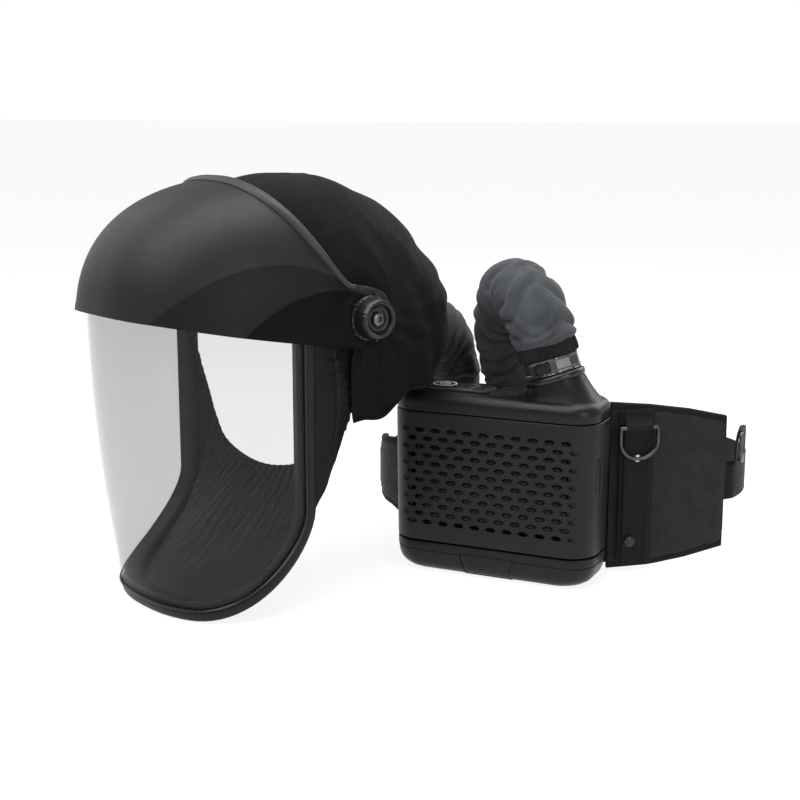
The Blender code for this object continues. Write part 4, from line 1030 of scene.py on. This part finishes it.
# ---- repeated features, grown by geometry nodes ------------------------------------------------
class Grower(Graph):
    """A geometry node tree with named inputs, turned into plain meshes."""

    def __init__(self, name, **inputs):
        self.tree = bpy.data.node_groups.new(name, "GeometryNodeTree")
        face = self.tree.interface
        face.new_socket("Geometry", in_out="INPUT", socket_type="NodeSocketGeometry")
        for key, (kind, value) in inputs.items():
            socket = face.new_socket(key.replace("_", " "), in_out="INPUT",
                                     socket_type="NodeSocket" + kind)
            if value is not None:
                socket.default_value = value
        face.new_socket("Geometry", in_out="OUTPUT", socket_type="NodeSocketGeometry")
        self.start = self.tree.nodes.new("NodeGroupInput")

    def node(self, kind, setup=None, **inputs):
        made = self.tree.nodes.new(kind)
        for key, value in (setup or {}).items():
            setattr(made, key, value)
        for key, value in inputs.items():
            self.join(value, next(s for s in made.inputs
                                  if s.name == key.replace("_", " ") and s.enabled))
        return made

    def given(self, name):
        return self.start.outputs[name]

    def end(self, geometry):
        """Close the tree: realise the copies and paint them."""
        real = self.node("GeometryNodeRealizeInstances", Geometry=geometry)
        painted = self.node("GeometryNodeSetMaterial", Geometry=real.outputs[0],
                            Material=self.given("Material"))
        finish = self.tree.nodes.new("NodeGroupOutput")
        self.tree.links.new(painted.outputs[0], finish.inputs[0])

    def grow(self, name, mesh, mat, body, stands_for=(), slot=None, angle=40, **values):
        """Run the tree on a mesh and keep the result as a plain piece."""
        seed = bpy.data.objects.new(name + "_seed", mesh)
        bpy.context.scene.collection.objects.link(seed)
        mod = seed.modifiers.new("grow", "NODES")
        mod.node_group = self.tree
        values["Material"] = mat
        for item in self.tree.interface.items_tree:
            key = item.name.replace(" ", "_")
            if item.in_out == "INPUT" and key in values:
                mod[item.identifier] = values[key]
        bpy.context.view_layer.update()
        graph = bpy.context.evaluated_depsgraph_get()
        made = bpy.data.meshes.new_from_object(seed.evaluated_get(graph))
        seed.modifiers.remove(mod)
        bpy.data.objects.remove(seed)
        if angle:
            made.shade_smooth()
            made.set_sharp_from_angle(angle=math.radians(angle))
        made.name = name
        return settle(bpy.data.objects.new(name, made), mat, body, stands_for)


def line_mesh(name, paths, at=None):
    """Edges along one or more paths given in millimetres."""
    verts, edges = [], []
    for path in paths:
        start = len(verts)
        verts += [(at @ Vector(p) if at else Vector(p)) * MM for p in path]
        edges += [(start + i, start + i + 1) for i in range(len(path) - 1)]
    mesh = bpy.data.meshes.new(name)
    mesh.from_pydata(verts, edges, [])
    return mesh


def stitch_tree():
    """A short thread at every pitch along a line."""
    g = Grower("stitch_row", Pitch=("Float", 3.4 * MM), Thread=("Float", 0.35 * MM),
               Material=("Material", None))
    curve = g.node("GeometryNodeMeshToCurve", Mesh=g.given("Geometry"))
    dots = g.node("GeometryNodeCurveToPoints", {"mode": "LENGTH"}, Curve=curve.outputs[0],
                  Length=g.given("Pitch"))
    seg = g.node("GeometryNodeMeshUVSphere", Segments=6, Rings=4, Radius=g.given("Thread"))
    long = g.node("GeometryNodeTransform", Geometry=seg.outputs[0], Scale=(1, 1, 3.9))
    turn = g.node("FunctionNodeAlignRotationToVector", {"axis": "Z"},
                  Vector=dots.outputs["Tangent"])
    copies = g.node("GeometryNodeInstanceOnPoints", Points=dots.outputs["Points"],
                    Instance=long.outputs[0], Rotation=turn.outputs[0])
    g.end(copies.outputs[0])
    return g


def stud_tree():
    """A domed head on every point, for screws and rivets."""
    g = Grower("stud_heads", Radius=("Float", 3 * MM), Rise=("Float", 0.35),
               Material=("Material", None))
    ball = g.node("GeometryNodeMeshUVSphere", Segments=24, Rings=12, Radius=g.given("Radius"))
    squash = g.node("ShaderNodeCombineXYZ", X=1.0, Y=g.given("Rise"), Z=1.0)
    dome = g.node("GeometryNodeTransform", Geometry=ball.outputs[0], Scale=squash.outputs[0])
    copies = g.node("GeometryNodeInstanceOnPoints", Points=g.given("Geometry"),
                    Instance=dome.outputs[0])
    g.end(copies.outputs[0])
    return g


def rib_tree():
    """A box-shaped bar on every point."""
    g = Grower("rib_row", Size=("Vector", (0.002, 0.03, 0.001)), Material=("Material", None))
    bar = g.node("GeometryNodeMeshCube", Size=g.given("Size"))
    copies = g.node("GeometryNodeInstanceOnPoints", Points=g.given("Geometry"),
                    Instance=bar.outputs["Mesh"])
    g.end(copies.outputs[0])
    return g


def perforation_tree():
    """Cut a staggered field of six-sided slots into a wall that faces -Y."""
    g = Grower("slot_field", Columns=("Int", 13), Rows=("Int", 13), Pitch_X=("Float", 16 * MM),
               Pitch_Z=("Float", 8 * MM), Slot_Width=("Float", 5.4 * MM),
               Slot_Height=("Float", 0.46), Depth=("Float", 4 * MM), Centre=("Vector", None),
               Material=("Material", None))
    wide = g.math("MULTIPLY", g.math("SUBTRACT", g.given("Columns"), 1.0), g.given("Pitch X"))
    tall = g.math("MULTIPLY", g.math("SUBTRACT", g.given("Rows"), 1.0), g.given("Pitch Z"))
    grid = g.node("GeometryNodeMeshGrid", Size_X=wide, Size_Y=tall,
                  Vertices_X=g.given("Columns"), Vertices_Y=g.given("Rows"))
    place = g.node("ShaderNodeSeparateXYZ", Vector=g.node("GeometryNodeInputPosition").outputs[0])
    row = g.math("ROUND", g.math("DIVIDE", g.math("ADD", place.outputs[1],
                                                 g.math("MULTIPLY", tall, 0.5)),
                                 g.given("Pitch Z")))
    odd = g.math("MODULO", row, 2.0)
    shift = g.math("MULTIPLY", g.math("SUBTRACT", odd, 0.5),
                   g.math("MULTIPLY", g.given("Pitch X"), 0.5))
    moved = g.node("ShaderNodeCombineXYZ", X=g.math("ADD", place.outputs[0], shift), Y=0.0,
                   Z=place.outputs[1])
    spot = g.node("ShaderNodeVectorMath", {"operation": "ADD"})
    g.join(moved.outputs[0], spot.inputs[0])
    g.join(g.given("Centre"), spot.inputs[1])
    field = g.node("GeometryNodeSetPosition", Geometry=grid.outputs[0], Position=spot.outputs[0])
    slot = g.node("GeometryNodeMeshCylinder", Vertices=6, Radius=g.given("Slot Width"),
                  Depth=g.given("Depth"))
    shape = g.node("ShaderNodeCombineXYZ", X=1.0, Y=g.given("Slot Height"), Z=1.0)
    thin = g.node("GeometryNodeTransform", Geometry=slot.outputs["Mesh"], Scale=shape.outputs[0])
    upright = g.node("GeometryNodeTransform", Geometry=thin.outputs[0],
                     Rotation=(math.pi / 2, 0, 0))
    copies = g.node("GeometryNodeInstanceOnPoints", Points=field.outputs[0],
                    Instance=upright.outputs[0])
    tools = g.node("GeometryNodeRealizeInstances", Geometry=copies.outputs[0])
    cut = g.node("GeometryNodeMeshBoolean", {"operation": "DIFFERENCE", "solver": "EXACT"})
    g.tree.links.new(g.given("Geometry"), cut.inputs["Mesh 1"])
    g.tree.links.new(tools.outputs[0], cut.inputs["Mesh 2"])
    g.end(cut.outputs[0])
    return g


STITCHES, STUDS, RIBS, SLOTS = stitch_tree(), stud_tree(), rib_tree(), perforation_tree()


def stitched(name, paths, at=None, slot="belt_nylon"):
    return STITCHES.grow(name, line_mesh(name, paths, at), THREAD_MAT, CARRIER, slot=slot,
                         Pitch=3.4 * MM, Thread=0.35 * MM)


def studded(name, points, radius, rise, mat, body, slot):
    return STUDS.grow(name, line_mesh(name, [[p] for p in points]), mat, body, slot=slot,
                      Radius=radius * MM, Rise=rise)


# ---- blower ------------------------------------------------------------------------------------
def half_outline(width, depth, radius, side, edge):
    """Half of the case's outline, from the left end round two corners to the right end."""
    steps = 14
    points = [(-width / 2, edge)]
    for sx, start in ((-1, 0), (1, 90)):
        cx, cy = sx * (width / 2 - radius), side * (depth / 2 - radius)
        for i in range(steps + 1):
            a = math.radians(start + 90 * i / steps)
            points.append((cx - radius * math.cos(a), cy + side * radius * math.sin(a)))
    points.append((width / 2, edge))
    return points


def case_wall(side, edge, rows):
    """A standing C-shaped wall: rows are (z, width, depth, radius)."""
    rings = []
    for z, w, d, r in rows:
        outer = half_outline(w, d, r, side, edge)
        inner = half_outline(w - 5.6, d - 5.6, r - 2.5, side, edge)
        rings.append([Vector((x, y, z)) for x, y in outer + inner[::-1]])
    return tube(rings)


def make_case():
    """The blower's case, cap and neck, with the hose collar on the neck."""
    rows = ((31.2, 198.6, 72.6, 25.6), (31.9, 200.6, 74.1, 26.2), (33, 201.1, 74.5, 26.5),
            (75, 202.2, 75.2, 26.7), (120, 203.3, 75.6, 26.9), (155, 204, 76, 27),
            (156.4, 203.6, 75.6, 26.8), (157, 202.6, 74.8, 26.4))
    shape = case_wall(-1, SPLIT_Y, rows)
    blank = piece("cover_blank", shape, GRAIN_MAT, CARRIER)
    mesh = blank.data.copy()
    bpy.data.objects.remove(blank)
    SLOTS.grow("front_grille", mesh, GRAIN_MAT, "front_cover", ["filter_cover"],
               "grained_black", angle=28, Columns=12, Rows=12, Pitch_X=16.2 * MM,
               Pitch_Z=8.2 * MM, Slot_Width=5.6 * MM, Slot_Height=0.47, Depth=6.2 * MM,
               Centre=(0.0, -37.6 * MM, 95 * MM))
    shape = case_wall(1, SPLIT_Y + 0.6, rows)
    piece("rear_shell", shape, CASE_MAT, CARRIER, ["rear_case"],
          angle=28)
    block("side_catch", (96, -19.4, 90.6), (101.6, -8.6, 125.4), 0.7, CASE_MAT, "side_latch",
          ["cover_latch"], corner=2)
    RIBS.grow("catch_grip", line_mesh("g", [[(101.5, -14, z)] for z in (104, 108, 112)]),
              CASE_MAT, "side_latch", slot="case_black", angle=0,
              Size=(0.5 * MM, 7 * MM, 1.2 * MM))
    studded("case_screws", [(x, 37.6, z) for x in (-78, 78) for z in (44, 146)], 3.4, 0.3,
            ZINC_MAT, CARRIER, "zinc")

    shapes = ((200.6, 73, 26, 158), (203.4, 75.4, 27, 158.5), (204, 76, 27, 159.6),
              (204, 76, 27, 165), (203, 75.2, 26.7, 168), (200.8, 73, 26, 171),
              (197, 69, 24.6, 173.2), (191, 63, 22, 175), (184, 56, 20, 176), (150, 30, 12, 176.2))
    rings = [[Vector((x, y, z)) for x, y in rounded_rect(w, d, r, 14)] for w, d, r, z in shapes]
    shape = tube(rings)
    piece("cap_shell", shape, CASE_MAT, CARRIER, ["top_cap"],
          angle=28)

    lower = rounded_rect(76, 58, 25, 17)
    centre, neck_top = Vector((60, 0, 172)), NECK @ Vector((0, 0, 22))
    rings = []
    for t in (0, 0.06, 0.14, 0.3, 0.5, 0.7, 0.86, 0.96, 1):
        ring = []
        for x, y in lower:
            a = math.atan2(y, x)
            foot = centre + Vector((x, y, 0)) * (1.02 - 0.02 * t)
            top = NECK @ Vector((27 * math.cos(a), 27 * math.sin(a), 22))
            flare = 1 - 0.035 * math.sin(math.pi * t) * (t < 1)
            p = foot.lerp(top, t)
            axis = centre.lerp(neck_top, t)
            ring.append(axis + (p - axis) * flare)
        rings.append(ring)
    inner = [[NECK @ Vector((r * math.cos(2 * math.pi * (k + 0.5) / 72),
                             r * math.sin(2 * math.pi * (k + 0.5) / 72), s)) for k in range(72)]
             for r, s in ((26.2, 22.3), (19, 22.3), (19, 6))]
    shape = tube(rings + inner)
    piece("outlet_neck", shape, CASE_MAT, CARRIER, angle=30)

    def facets(a, k):
        return 0.965 / math.cos((a % (math.pi / 6)) - math.pi / 12) if 2 < k < 8 else 1.0

    rings = turned([(24.4, 29), (25.6, 29), (26.3, 29.7), (26.7, 30.6), (26.7, 32), (26.4, 33),
                    (26.4, 41), (26.7, 42), (26.2, 43.6), (25.2, 44.6), (22, 44.6), (22, 29)],
                   144, facets)
    shape = tube(rings, closed=True)
    piece("collar_band", shape, COLLAR_MAT, "hose_collar", ["hose_connector"],
          NECK, angle=14)
    block("collar_key", (-7.4, -28.4, 33), (7.4, -24.6, 41), 0.8, CASE_MAT, "collar_button",
          ["connector_button"], NECK, corner=2.6)
    rings = turned([(24, 22.4), (27.4, 22.4), (28.2, 23.2), (28.4, 25), (28.2, 26.8),
                    (27.4, 28), (26, 28.6), (20, 28.6), (20, 22.4)], 96)
    shape = tube(rings, closed=True)
    piece("outlet_band", shape, KNOB_MAT, CARRIER, ["outlet_ring"], NECK)


def ring_mesh(centre, r0, r1, low, high, squash=1.0, arc=(0, 360), sides=48):
    """A thin flat ring, or part of one, lying on the panel."""
    rings = []
    n = max(int(sides * (arc[1] - arc[0]) / 360), 6)
    whole = arc[1] - arc[0] >= 360
    for k in range(n if whole else n + 1):
        a = math.radians(arc[0] + (arc[1] - arc[0]) * k / n)
        c, s = math.cos(a), math.sin(a) * squash
        rings.append([Vector((centre[0] + r * c, centre[1] + r * s, z))
                      for r, z in ((r0, low), (r1, low), (r1, high), (r0, high))])
    return tube(rings, closed=whole)


def make_panel():
    """The control panel on the cap: key, display, marks and grip ribs."""
    block("panel_plate", (-76, -20, 176.3), (-8, 12, 178), 0.5, PANEL_MAT, CARRIER,
          ["control_panel"], corner=8)
    block("display_pane", (-36.6, -11.6, 177.5), (-14.4, 5.6, 178.25), 0.2, GLASS_MAT, CARRIER,
          ["status_window"], corner=1.5)
    block("power_pad", (-70.4, -15.4, 178), (-43.6, 7.4, 179.6), 0.6, CASE_MAT, "power_key",
          ["power_button"], corner=8)
    top = 179.66
    parts = [("power_halo", ring_mesh((-57, -4), 10.6, 11.6, 179.5, top, 0.92)),
             ("power_mark_arc", ring_mesh((-57, -4), 4.0, 5.0, 179.5, top, 0.95, (118, 422)))]
    for name, shape in parts:
        piece(name, shape, MARK_MAT, "power_key")
    block("power_mark_bar", (-57.5, -3.4, 179.5), (-56.5, 2.8, top), 0.05, MARK_MAT,
          "power_key", corner=0.3)
    bars = [[(-33.5 + 4.2 * k, -4.5, 178.3)] for k in range(4)]
    RIBS.grow("charge_marks", line_mesh("c", bars), TRIM_MAT, CARRIER, slot="panel_gloss",
              angle=0, Size=(2.4 * MM, 5 * MM, 0.12 * MM))
    for k in range(4):
        shape = ring_mesh((-33 + 5 * k, 2.6), 0.9, 1.4, 178.2, 178.34, sides=20)
        piece("status_dot_%d" % k, shape, TRIM_MAT, CARRIER)
    ribs = [[(-4 + 3.2 * k, -2, 176.3)] for k in range(8)]
    RIBS.grow("cap_ribs", line_mesh("r", ribs), CASE_MAT, CARRIER, slot="case_black", angle=0,
              Size=(1.4 * MM, 44 * MM, 1.0 * MM))


# The battery's outline on its way up: width, depth, corner radius, height.
BATTERY = ((150, 40, 14, 0.0), (166, 52, 18, 0.8), (178, 60, 22, 2.6), (187, 66, 24, 5.4),
           (193.5, 70, 25, 9), (197.5, 72.6, 25.6, 14), (199.6, 73.8, 26, 20.6),
           (198.4, 72.6, 25.4, 21.0), (198.4, 72.6, 25.4, 21.9), (200.2, 74.1, 26, 22.3),
           (200.9, 74.5, 26.4, 28.6), (200.2, 73.8, 26, 29.6), (198.6, 72.2, 25.4, 29.8))


def battery_front(z):
    """Where the battery's front face is at a height, without its groove."""
    for (_, d0, _, z0), (_, d1, _, z1) in zip(BATTERY[:6], BATTERY[1:7]):
        if z <= z1:
            return -(d0 + (d1 - d0) * (z - z0) / (z1 - z0)) / 2
    return -BATTERY[6][1] / 2


def make_battery():
    """The battery's case, the catch plate on its front and the line round the plate."""
    rings = [[Vector((x, y, z)) for x, y in rounded_rect(w, d, r, 14)] for w, d, r, z in BATTERY]
    shape = tube(rings)
    piece("battery_case", shape, CASE_MAT, "battery", ["battery_pack"], angle=30)
    grid = []
    for i in range(41):
        t = i / 40 * 2 - 1
        grid.append([Vector(((21 + 4.6 * j / 20) * t, 0, 3.4 + 19.2 * j / 20))
                     for j in range(21)])
    for row in grid:
        for p in row:
            p.y = battery_front(p.z) - 0.9
    normals = [[Vector((0, -1, 0))] * 21 for _ in grid]

    def soft_edge(i, j):
        return 0.5 * smooth_step(0, 0.14, min(i, 40 - i, 2 * j, 40 - 2 * j) / 20)
    shape = plate(grid, normals, -1.6, soft_edge)
    piece("battery_catch_plate", shape, GRAIN_MAT, "battery_catch", ["battery_latch"],
          angle=50)
    frame_path = [Vector((x, battery_front(z) - 0.5, z)) for x, z in
                  ((-28, 24), (-27.6, 20), (-25, 10), (-23, 3), (-20, 2), (20, 2), (23, 3),
                   (25, 10), (27.6, 20), (28, 24))]
    shape = tube(sweep(smooth_curve(frame_path, 90), round_outline(0.6, 6),
                                   up=Vector((0, 1, 0.02))))
    piece("battery_catch_rim", shape, CASE_MAT, "battery")


# ---- belt --------------------------------------------------------------------------------------
def ease_list(values, count):
    """A list stretched to a count, with even steps between its values."""
    result = []
    for i in range(count):
        place = (len(values) - 1) * i / (count - 1)
        k = min(int(place), len(values) - 2)
        result.append(values[k] + (values[k + 1] - values[k]) * (place - k))
    return result


def belt_frame(plan, lows, highs, count):
    """A belt part's path seen from above, its outward normals and its lower and upper edges."""
    path = smooth_curve([(x, y, 0) for x, y in plan], count)
    low, high = ease_list(lows, count), ease_list(highs, count)
    normals = []
    for i in range(count):
        step = path[min(i + 1, count - 1)] - path[max(i - 1, 0)]
        normals.append(Vector((step.y, -step.x, 0)).normalized())
    return path, normals, low, high


def make_pad(name, node, plan, lows, highs, thick, tape=11):
    """A foam pad under ballistic cloth, crowned and bound with tape on its long edges."""
    count, tall, half = 150, 44, thick / 2
    path, normals, low, high = belt_frame(plan, lows, highs, count)
    rings, top_edge, low_edge = [], [], []
    for i, (p, n) in enumerate(zip(path, normals)):
        ends = min(i, count - 1 - i) / (count - 1) * 100
        sink = smooth_step(0, 5, ends)
        front, back = [], []
        for k in range(tall + 1):
            v = k / tall
            edge = min(v, 1 - v) * (high[i] - low[i])
            puff = half * (0.42 + 0.58 * smooth_step(0, 15, edge) * (0.55 + 0.45 * sink))
            sew = 0.8 * math.exp(-((edge - tape - 1.5) / 1.3) ** 2)
            soft = 0.35 * noise.noise(Vector((i / 14, k / 8, 5)))
            z = low[i] + (high[i] - low[i]) * v
            q = Vector((p.x, p.y, z))
            front.append(q + n * (puff - sew + soft))
            back.append(q - n * (puff - sew))
        rings.append(front + back[::-1])
        top_edge.append(Vector((p.x, p.y, high[i])))
        low_edge.append(Vector((p.x, p.y, low[i])))
    shape = tube(rings)
    pad = piece(name, shape, NYLON_MAT, CARRIER, [node], angle=60)
    bind = []
    for edge, sign in ((top_edge, -1), (low_edge, 1)):
        rows = []
        for p, n in zip(edge, normals):
            shape = [(-half * 0.62, tape), (-half * 0.66, 2.2), (-half * 0.4, 0.2), (0, -0.4),
                     (half * 0.4, 0.2), (half * 0.66, 2.2), (half * 0.62, tape),
                     (half * 0.4, tape), (half * 0.3, 3), (-half * 0.3, 3), (-half * 0.4, tape)]
            rows.append([p + n * a + Vector((0, 0, sign * b)) for a, b in shape])
        bind.append(rows)
    for label, rows in zip(("top", "low"), bind):
        shape = tube(rows)
        piece(name + "_tape_" + label, shape, TAPE_MAT, CARRIER, angle=50)
    lines = []
    for face_side in (1, -1):
        for edge, sign in ((top_edge, -1), (low_edge, 1)):
            lines.append([p + n * face_side * (half * 0.66 + 0.25)
                          + Vector((0, 0, sign * (tape - 1.6)))
                          for p, n in list(zip(edge, normals))[2:-2]])
    stitched(name + "_stitches", lines)
    for end in (1, count - 2):
        p, n = path[end], normals[end]
        rail = [Vector((p.x, p.y, z)) for z in
                [low[end] + 0.6 + (high[end] - low[end] - 1.2) * t / 20 for t in range(21)]]
        side = Vector((-n.y, n.x, 0))
        outline = softened([(-half * 0.7, -1.2), (half * 0.7, -1.2), (half * 0.7, 1.2),
                            (-half * 0.7, 1.2)], 2)
        rings = [[q + n * a + side * b for a, b in outline] for q in rail]
        shape = tube(rings)
        piece(name + ("_end_a" if end == 1 else "_end_b"), shape, TAPE_MAT, CARRIER)


def make_webbing(name, node, plan, lows, highs, body=CARRIER):
    """A waist strap with thick selvages."""
    count = 180
    path, normals, low, high = belt_frame(plan, lows, highs, count)
    rings = []
    for i, (p, n) in enumerate(zip(path, normals)):
        ring = []
        for v, t in ((0, 0.3), (0.03, 1.0), (0.08, 0.78), (0.5, 0.86), (0.92, 0.78), (0.97, 1.0),
                     (1, 0.3)):
            z = low[i] + (high[i] - low[i]) * v
            ring.append(Vector((p.x, p.y, z)) + n * 1.1 * t)
        back = [q - n * 2 * (q - Vector((p.x, p.y, q.z))).dot(n) for q in ring]
        rings.append(ring + back[::-1])
    shape = tube(rings)
    return piece(name, shape, WEB_MAT, body, [node], angle=40)


def dee_ring(name, node, at, spot, body):
    """A welded dee of round wire: a straight bar at the top and a bow below."""
    half = 19
    path = [Vector((half - 1, 0, 0)), Vector((half, 0, -1.4)), Vector((half, 0, -7))]
    for i in range(1, 28):
        a = math.radians(180 * i / 28)
        path.append(Vector((half * math.cos(a), 0, -13 - 17 * math.sin(a))))
    path += [Vector((-half, 0, -7)), Vector((-half, 0, -1.4)), Vector((-half + 1, 0, 0))]
    path += [Vector((-half + 1 + (2 * half - 2) * k / 8, 0, 0)) for k in range(1, 8)]
    rings = []
    for i, p in enumerate(path):
        step = (path[(i + 1) % len(path)] - path[i - 1]).normalized()
        out = Vector((0, 1, 0)).cross(step)
        rings.append([Vector(spot) + p + out * 2 * math.cos(math.pi * k / 6)
                      + Vector((0, 2 * math.sin(math.pi * k / 6), 0)) for k in range(12)])
    shape = tube(rings, closed=True)
    piece(name, shape, STEEL_MAT, body, [node], at, angle=60)


def upright_web(name, at, x0, x1, y0, y1, z0, z1, stands_for=()):
    """A flat strip of webbing standing on a pad's face, with thick selvages."""
    rings = []
    mid, half = (y0 + y1) / 2, (y1 - y0) / 2
    for t in range(41):
        z = z0 + (z1 - z0) * t / 40
        wave = 0.25 * math.sin(t * 0.7)
        front = [(x0 + (x1 - x0) * v, mid - half * h + wave * 0.3) for v, h in
                 ((0, 0.3), (0.04, 1.0), (0.1, 0.75), (0.9, 0.75), (0.96, 1.0), (1, 0.3))]
        rings.append([Vector((x, y, z)) for x, y in front + [(x, y1) for x, _ in front[::-1]]])
    shape = tube(rings)
    return piece(name, shape, WEB_MAT, CARRIER, stands_for, at)


def make_belt():
    """The belt's pads, waist straps, dee rings and the loops that hold them."""
    make_pad("lumbar_cushion", "lumbar_pad",
             ((-91, 47.5), (-50, 48.5), (0, 49), (50, 48.5), (91, 47.5)),
             (6, 1, 1, 1, 6), (160, 170, 172, 170, 164), 11)
    make_pad("wing_right", "belt_wing_right", ((92.5, 46), *RIGHT_WING[1:]), (1, 3, 8, 16),
             (165, 162, 156, 147), 9, tape=13)
    make_pad("wing_left", "belt_wing_left", LEFT_WING, (8, 22, 32, 35, 38),
             (112, 108, 104, 101, 97), 9)
    web = make_webbing("waist_web_right", "webbing_right",
                       ((187.5, 118.5), (195, 131), (197, 164), (184, 212), (148, 256),
                        (92, 284), (32, 294)), (62, 62, 60, 58, 56, 55, 55),
                       (100, 100, 98, 96, 94, 93, 93),
                       body=None)
    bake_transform(web)
    make_webbing("waist_web_left", "webbing_left",
                 ((-172.6, 106), (-182, 142), (-182, 180), (-164, 222), (-128, 258), (-84, 282),
                  (-32, 294)), (40, 44, 48, 52, 54, 55, 55), (78, 82, 86, 90, 92, 93, 93))
    upright_web("ring_web", WING, -32, -4, -7.4, -5, 6, 158, ["ring_strap"])
    upright_web("ring_web_inner", WING, -35, -1, -6.0, -4.6, 5, 159)
    stitched("ring_web_stitches", [[(x, -7.7, z) for z in range(8, 120, 2)]
                                   for x in (-29.6, -6.4)], at=WING, slot="webbing_black")
    loop = softened([(-9.5, 140.4), (-13.6, 140.0), (-13.8, 144), (-10.8, 146.4), (-7.4, 152),
                     (-6.4, 152), (-6.4, 149), (-8.6, 144.6), (-8.4, 140.6), (-6.6, 136),
                     (-7.6, 130), (-8.6, 130), (-8.8, 136)], 2)
    rings = [[Vector((x, y, z)) for y, z in loop]
             for x in (-31, -30, -24, -18, -12, -6, -5)]
    shape = tube(rings)
    piece("ring_loop", shape, WEB_MAT, CARRIER, at=WING,
          angle=50)
    stitched("ring_loop_box", [[(-30, -8.2, 131.5), (-6, -8.2, 131.5)],
                               [(-30, -7.9, 150), (-6, -7.9, 150)]], at=WING,
             slot="webbing_black")
    dee_ring("dee_front", "d_ring_front", WING, (-18, -11, 142), "ring_front")
    dee_ring("dee_side", "d_ring_side", SIDE_RING, (0, -8, 130), "ring_side")
    rings = turned([(3.0, 0), (3.6, 0.4), (3.5, 1.4), (2.6, 2.1), (0.01, 2.3)], 32)
    for name, x, z, r, mat in (("loop_rivet", -18, 112, 1.0, RIVET_MAT),
                               ("belt_snap", -24, 30, 1.5, KNOB_MAT)):
        shape = tube(rings)
        turn = WING @ Matrix.Translation((x, -7.4, z)) @ Matrix.Rotation(math.pi / 2, 4, "X") \
            @ Matrix.Scale(r, 4)
        piece(name, shape, mat, CARRIER, at=turn)
    side_loop = [[Vector((x, y, z)) for y, z in
                  softened([(-3.2, 96), (-4.2, 126), (-9.8, 127.6), (-10.6, 131), (-7.4, 133.4),
                            (-2.6, 131), (-1.4, 96)], 2)] for x in (-13, -12, -6, 0, 6, 12, 13)]
    shape = tube(side_loop)
    piece("side_ring_loop", shape, WEB_MAT, CARRIER, at=SIDE_RING, angle=50)


def make_buckle():
    """The waist buckle behind: its body with grip ribs, and the insert that draws out."""
    block("buckle_body", (-31.4, 288, 50), (8, 300, 98), 1.6, GEAR_MAT, CARRIER,
          ["buckle_socket"], corner=3)
    block("buckle_insert_head", (8.4, 288, 50), (31.4, 300, 98), 1.6, GEAR_MAT,
          "buckle_insert", ["buckle_plug"], corner=3)
    RIBS.grow("buckle_grip", line_mesh("b", [[(-24 + 3 * k, 300, z)] for k in range(5)
                                             for z in (58, 90)]),
              GEAR_MAT, CARRIER, slot="gear_plastic", angle=0,
              Size=(1.4 * MM, 0.9 * MM, 9 * MM))


def finish_nodes():
    """Better materials on the solids that stay as they are."""
    finishes = {
        "brow_seal": FOAM_MAT, "headband": GEAR_MAT, "crown_strap": GEAR_MAT,
        "ratchet_cover": GEAR_MAT, "ratchet_knob": KNOB_MAT, "ratchet_pinion": GEAR_MAT,
        "nape_band_left": GEAR_MAT, "nape_band_right": GEAR_MAT, "pivot_arm_left": GEAR_MAT,
        "pivot_arm_right": GEAR_MAT, "air_duct": GEAR_MAT, "air_diffuser": GEAR_MAT,
        "hose_inlet": GEAR_MAT, "filter_seat": GEAR_MAT, "filter_gasket": FOAM_MAT,
        # the filter gets the darkened paper: painted shade for the inside of the case
        "particle_filter": SHADED_PAPER_MAT, "spark_screen": KNOB_MAT, "fan_scroll": GEAR_MAT,
        "impeller": GEAR_MAT, "fan_motor": ZINC_MAT, "circuit_board": BOARD_MAT,
        "belt_plate": GEAR_MAT}
    for node, mat in finishes.items():
        for slot in bpy.data.objects[node].material_slots:
            slot.material = mat


make_case()
make_panel()
make_battery()
make_belt()
make_buckle()
finish_nodes()
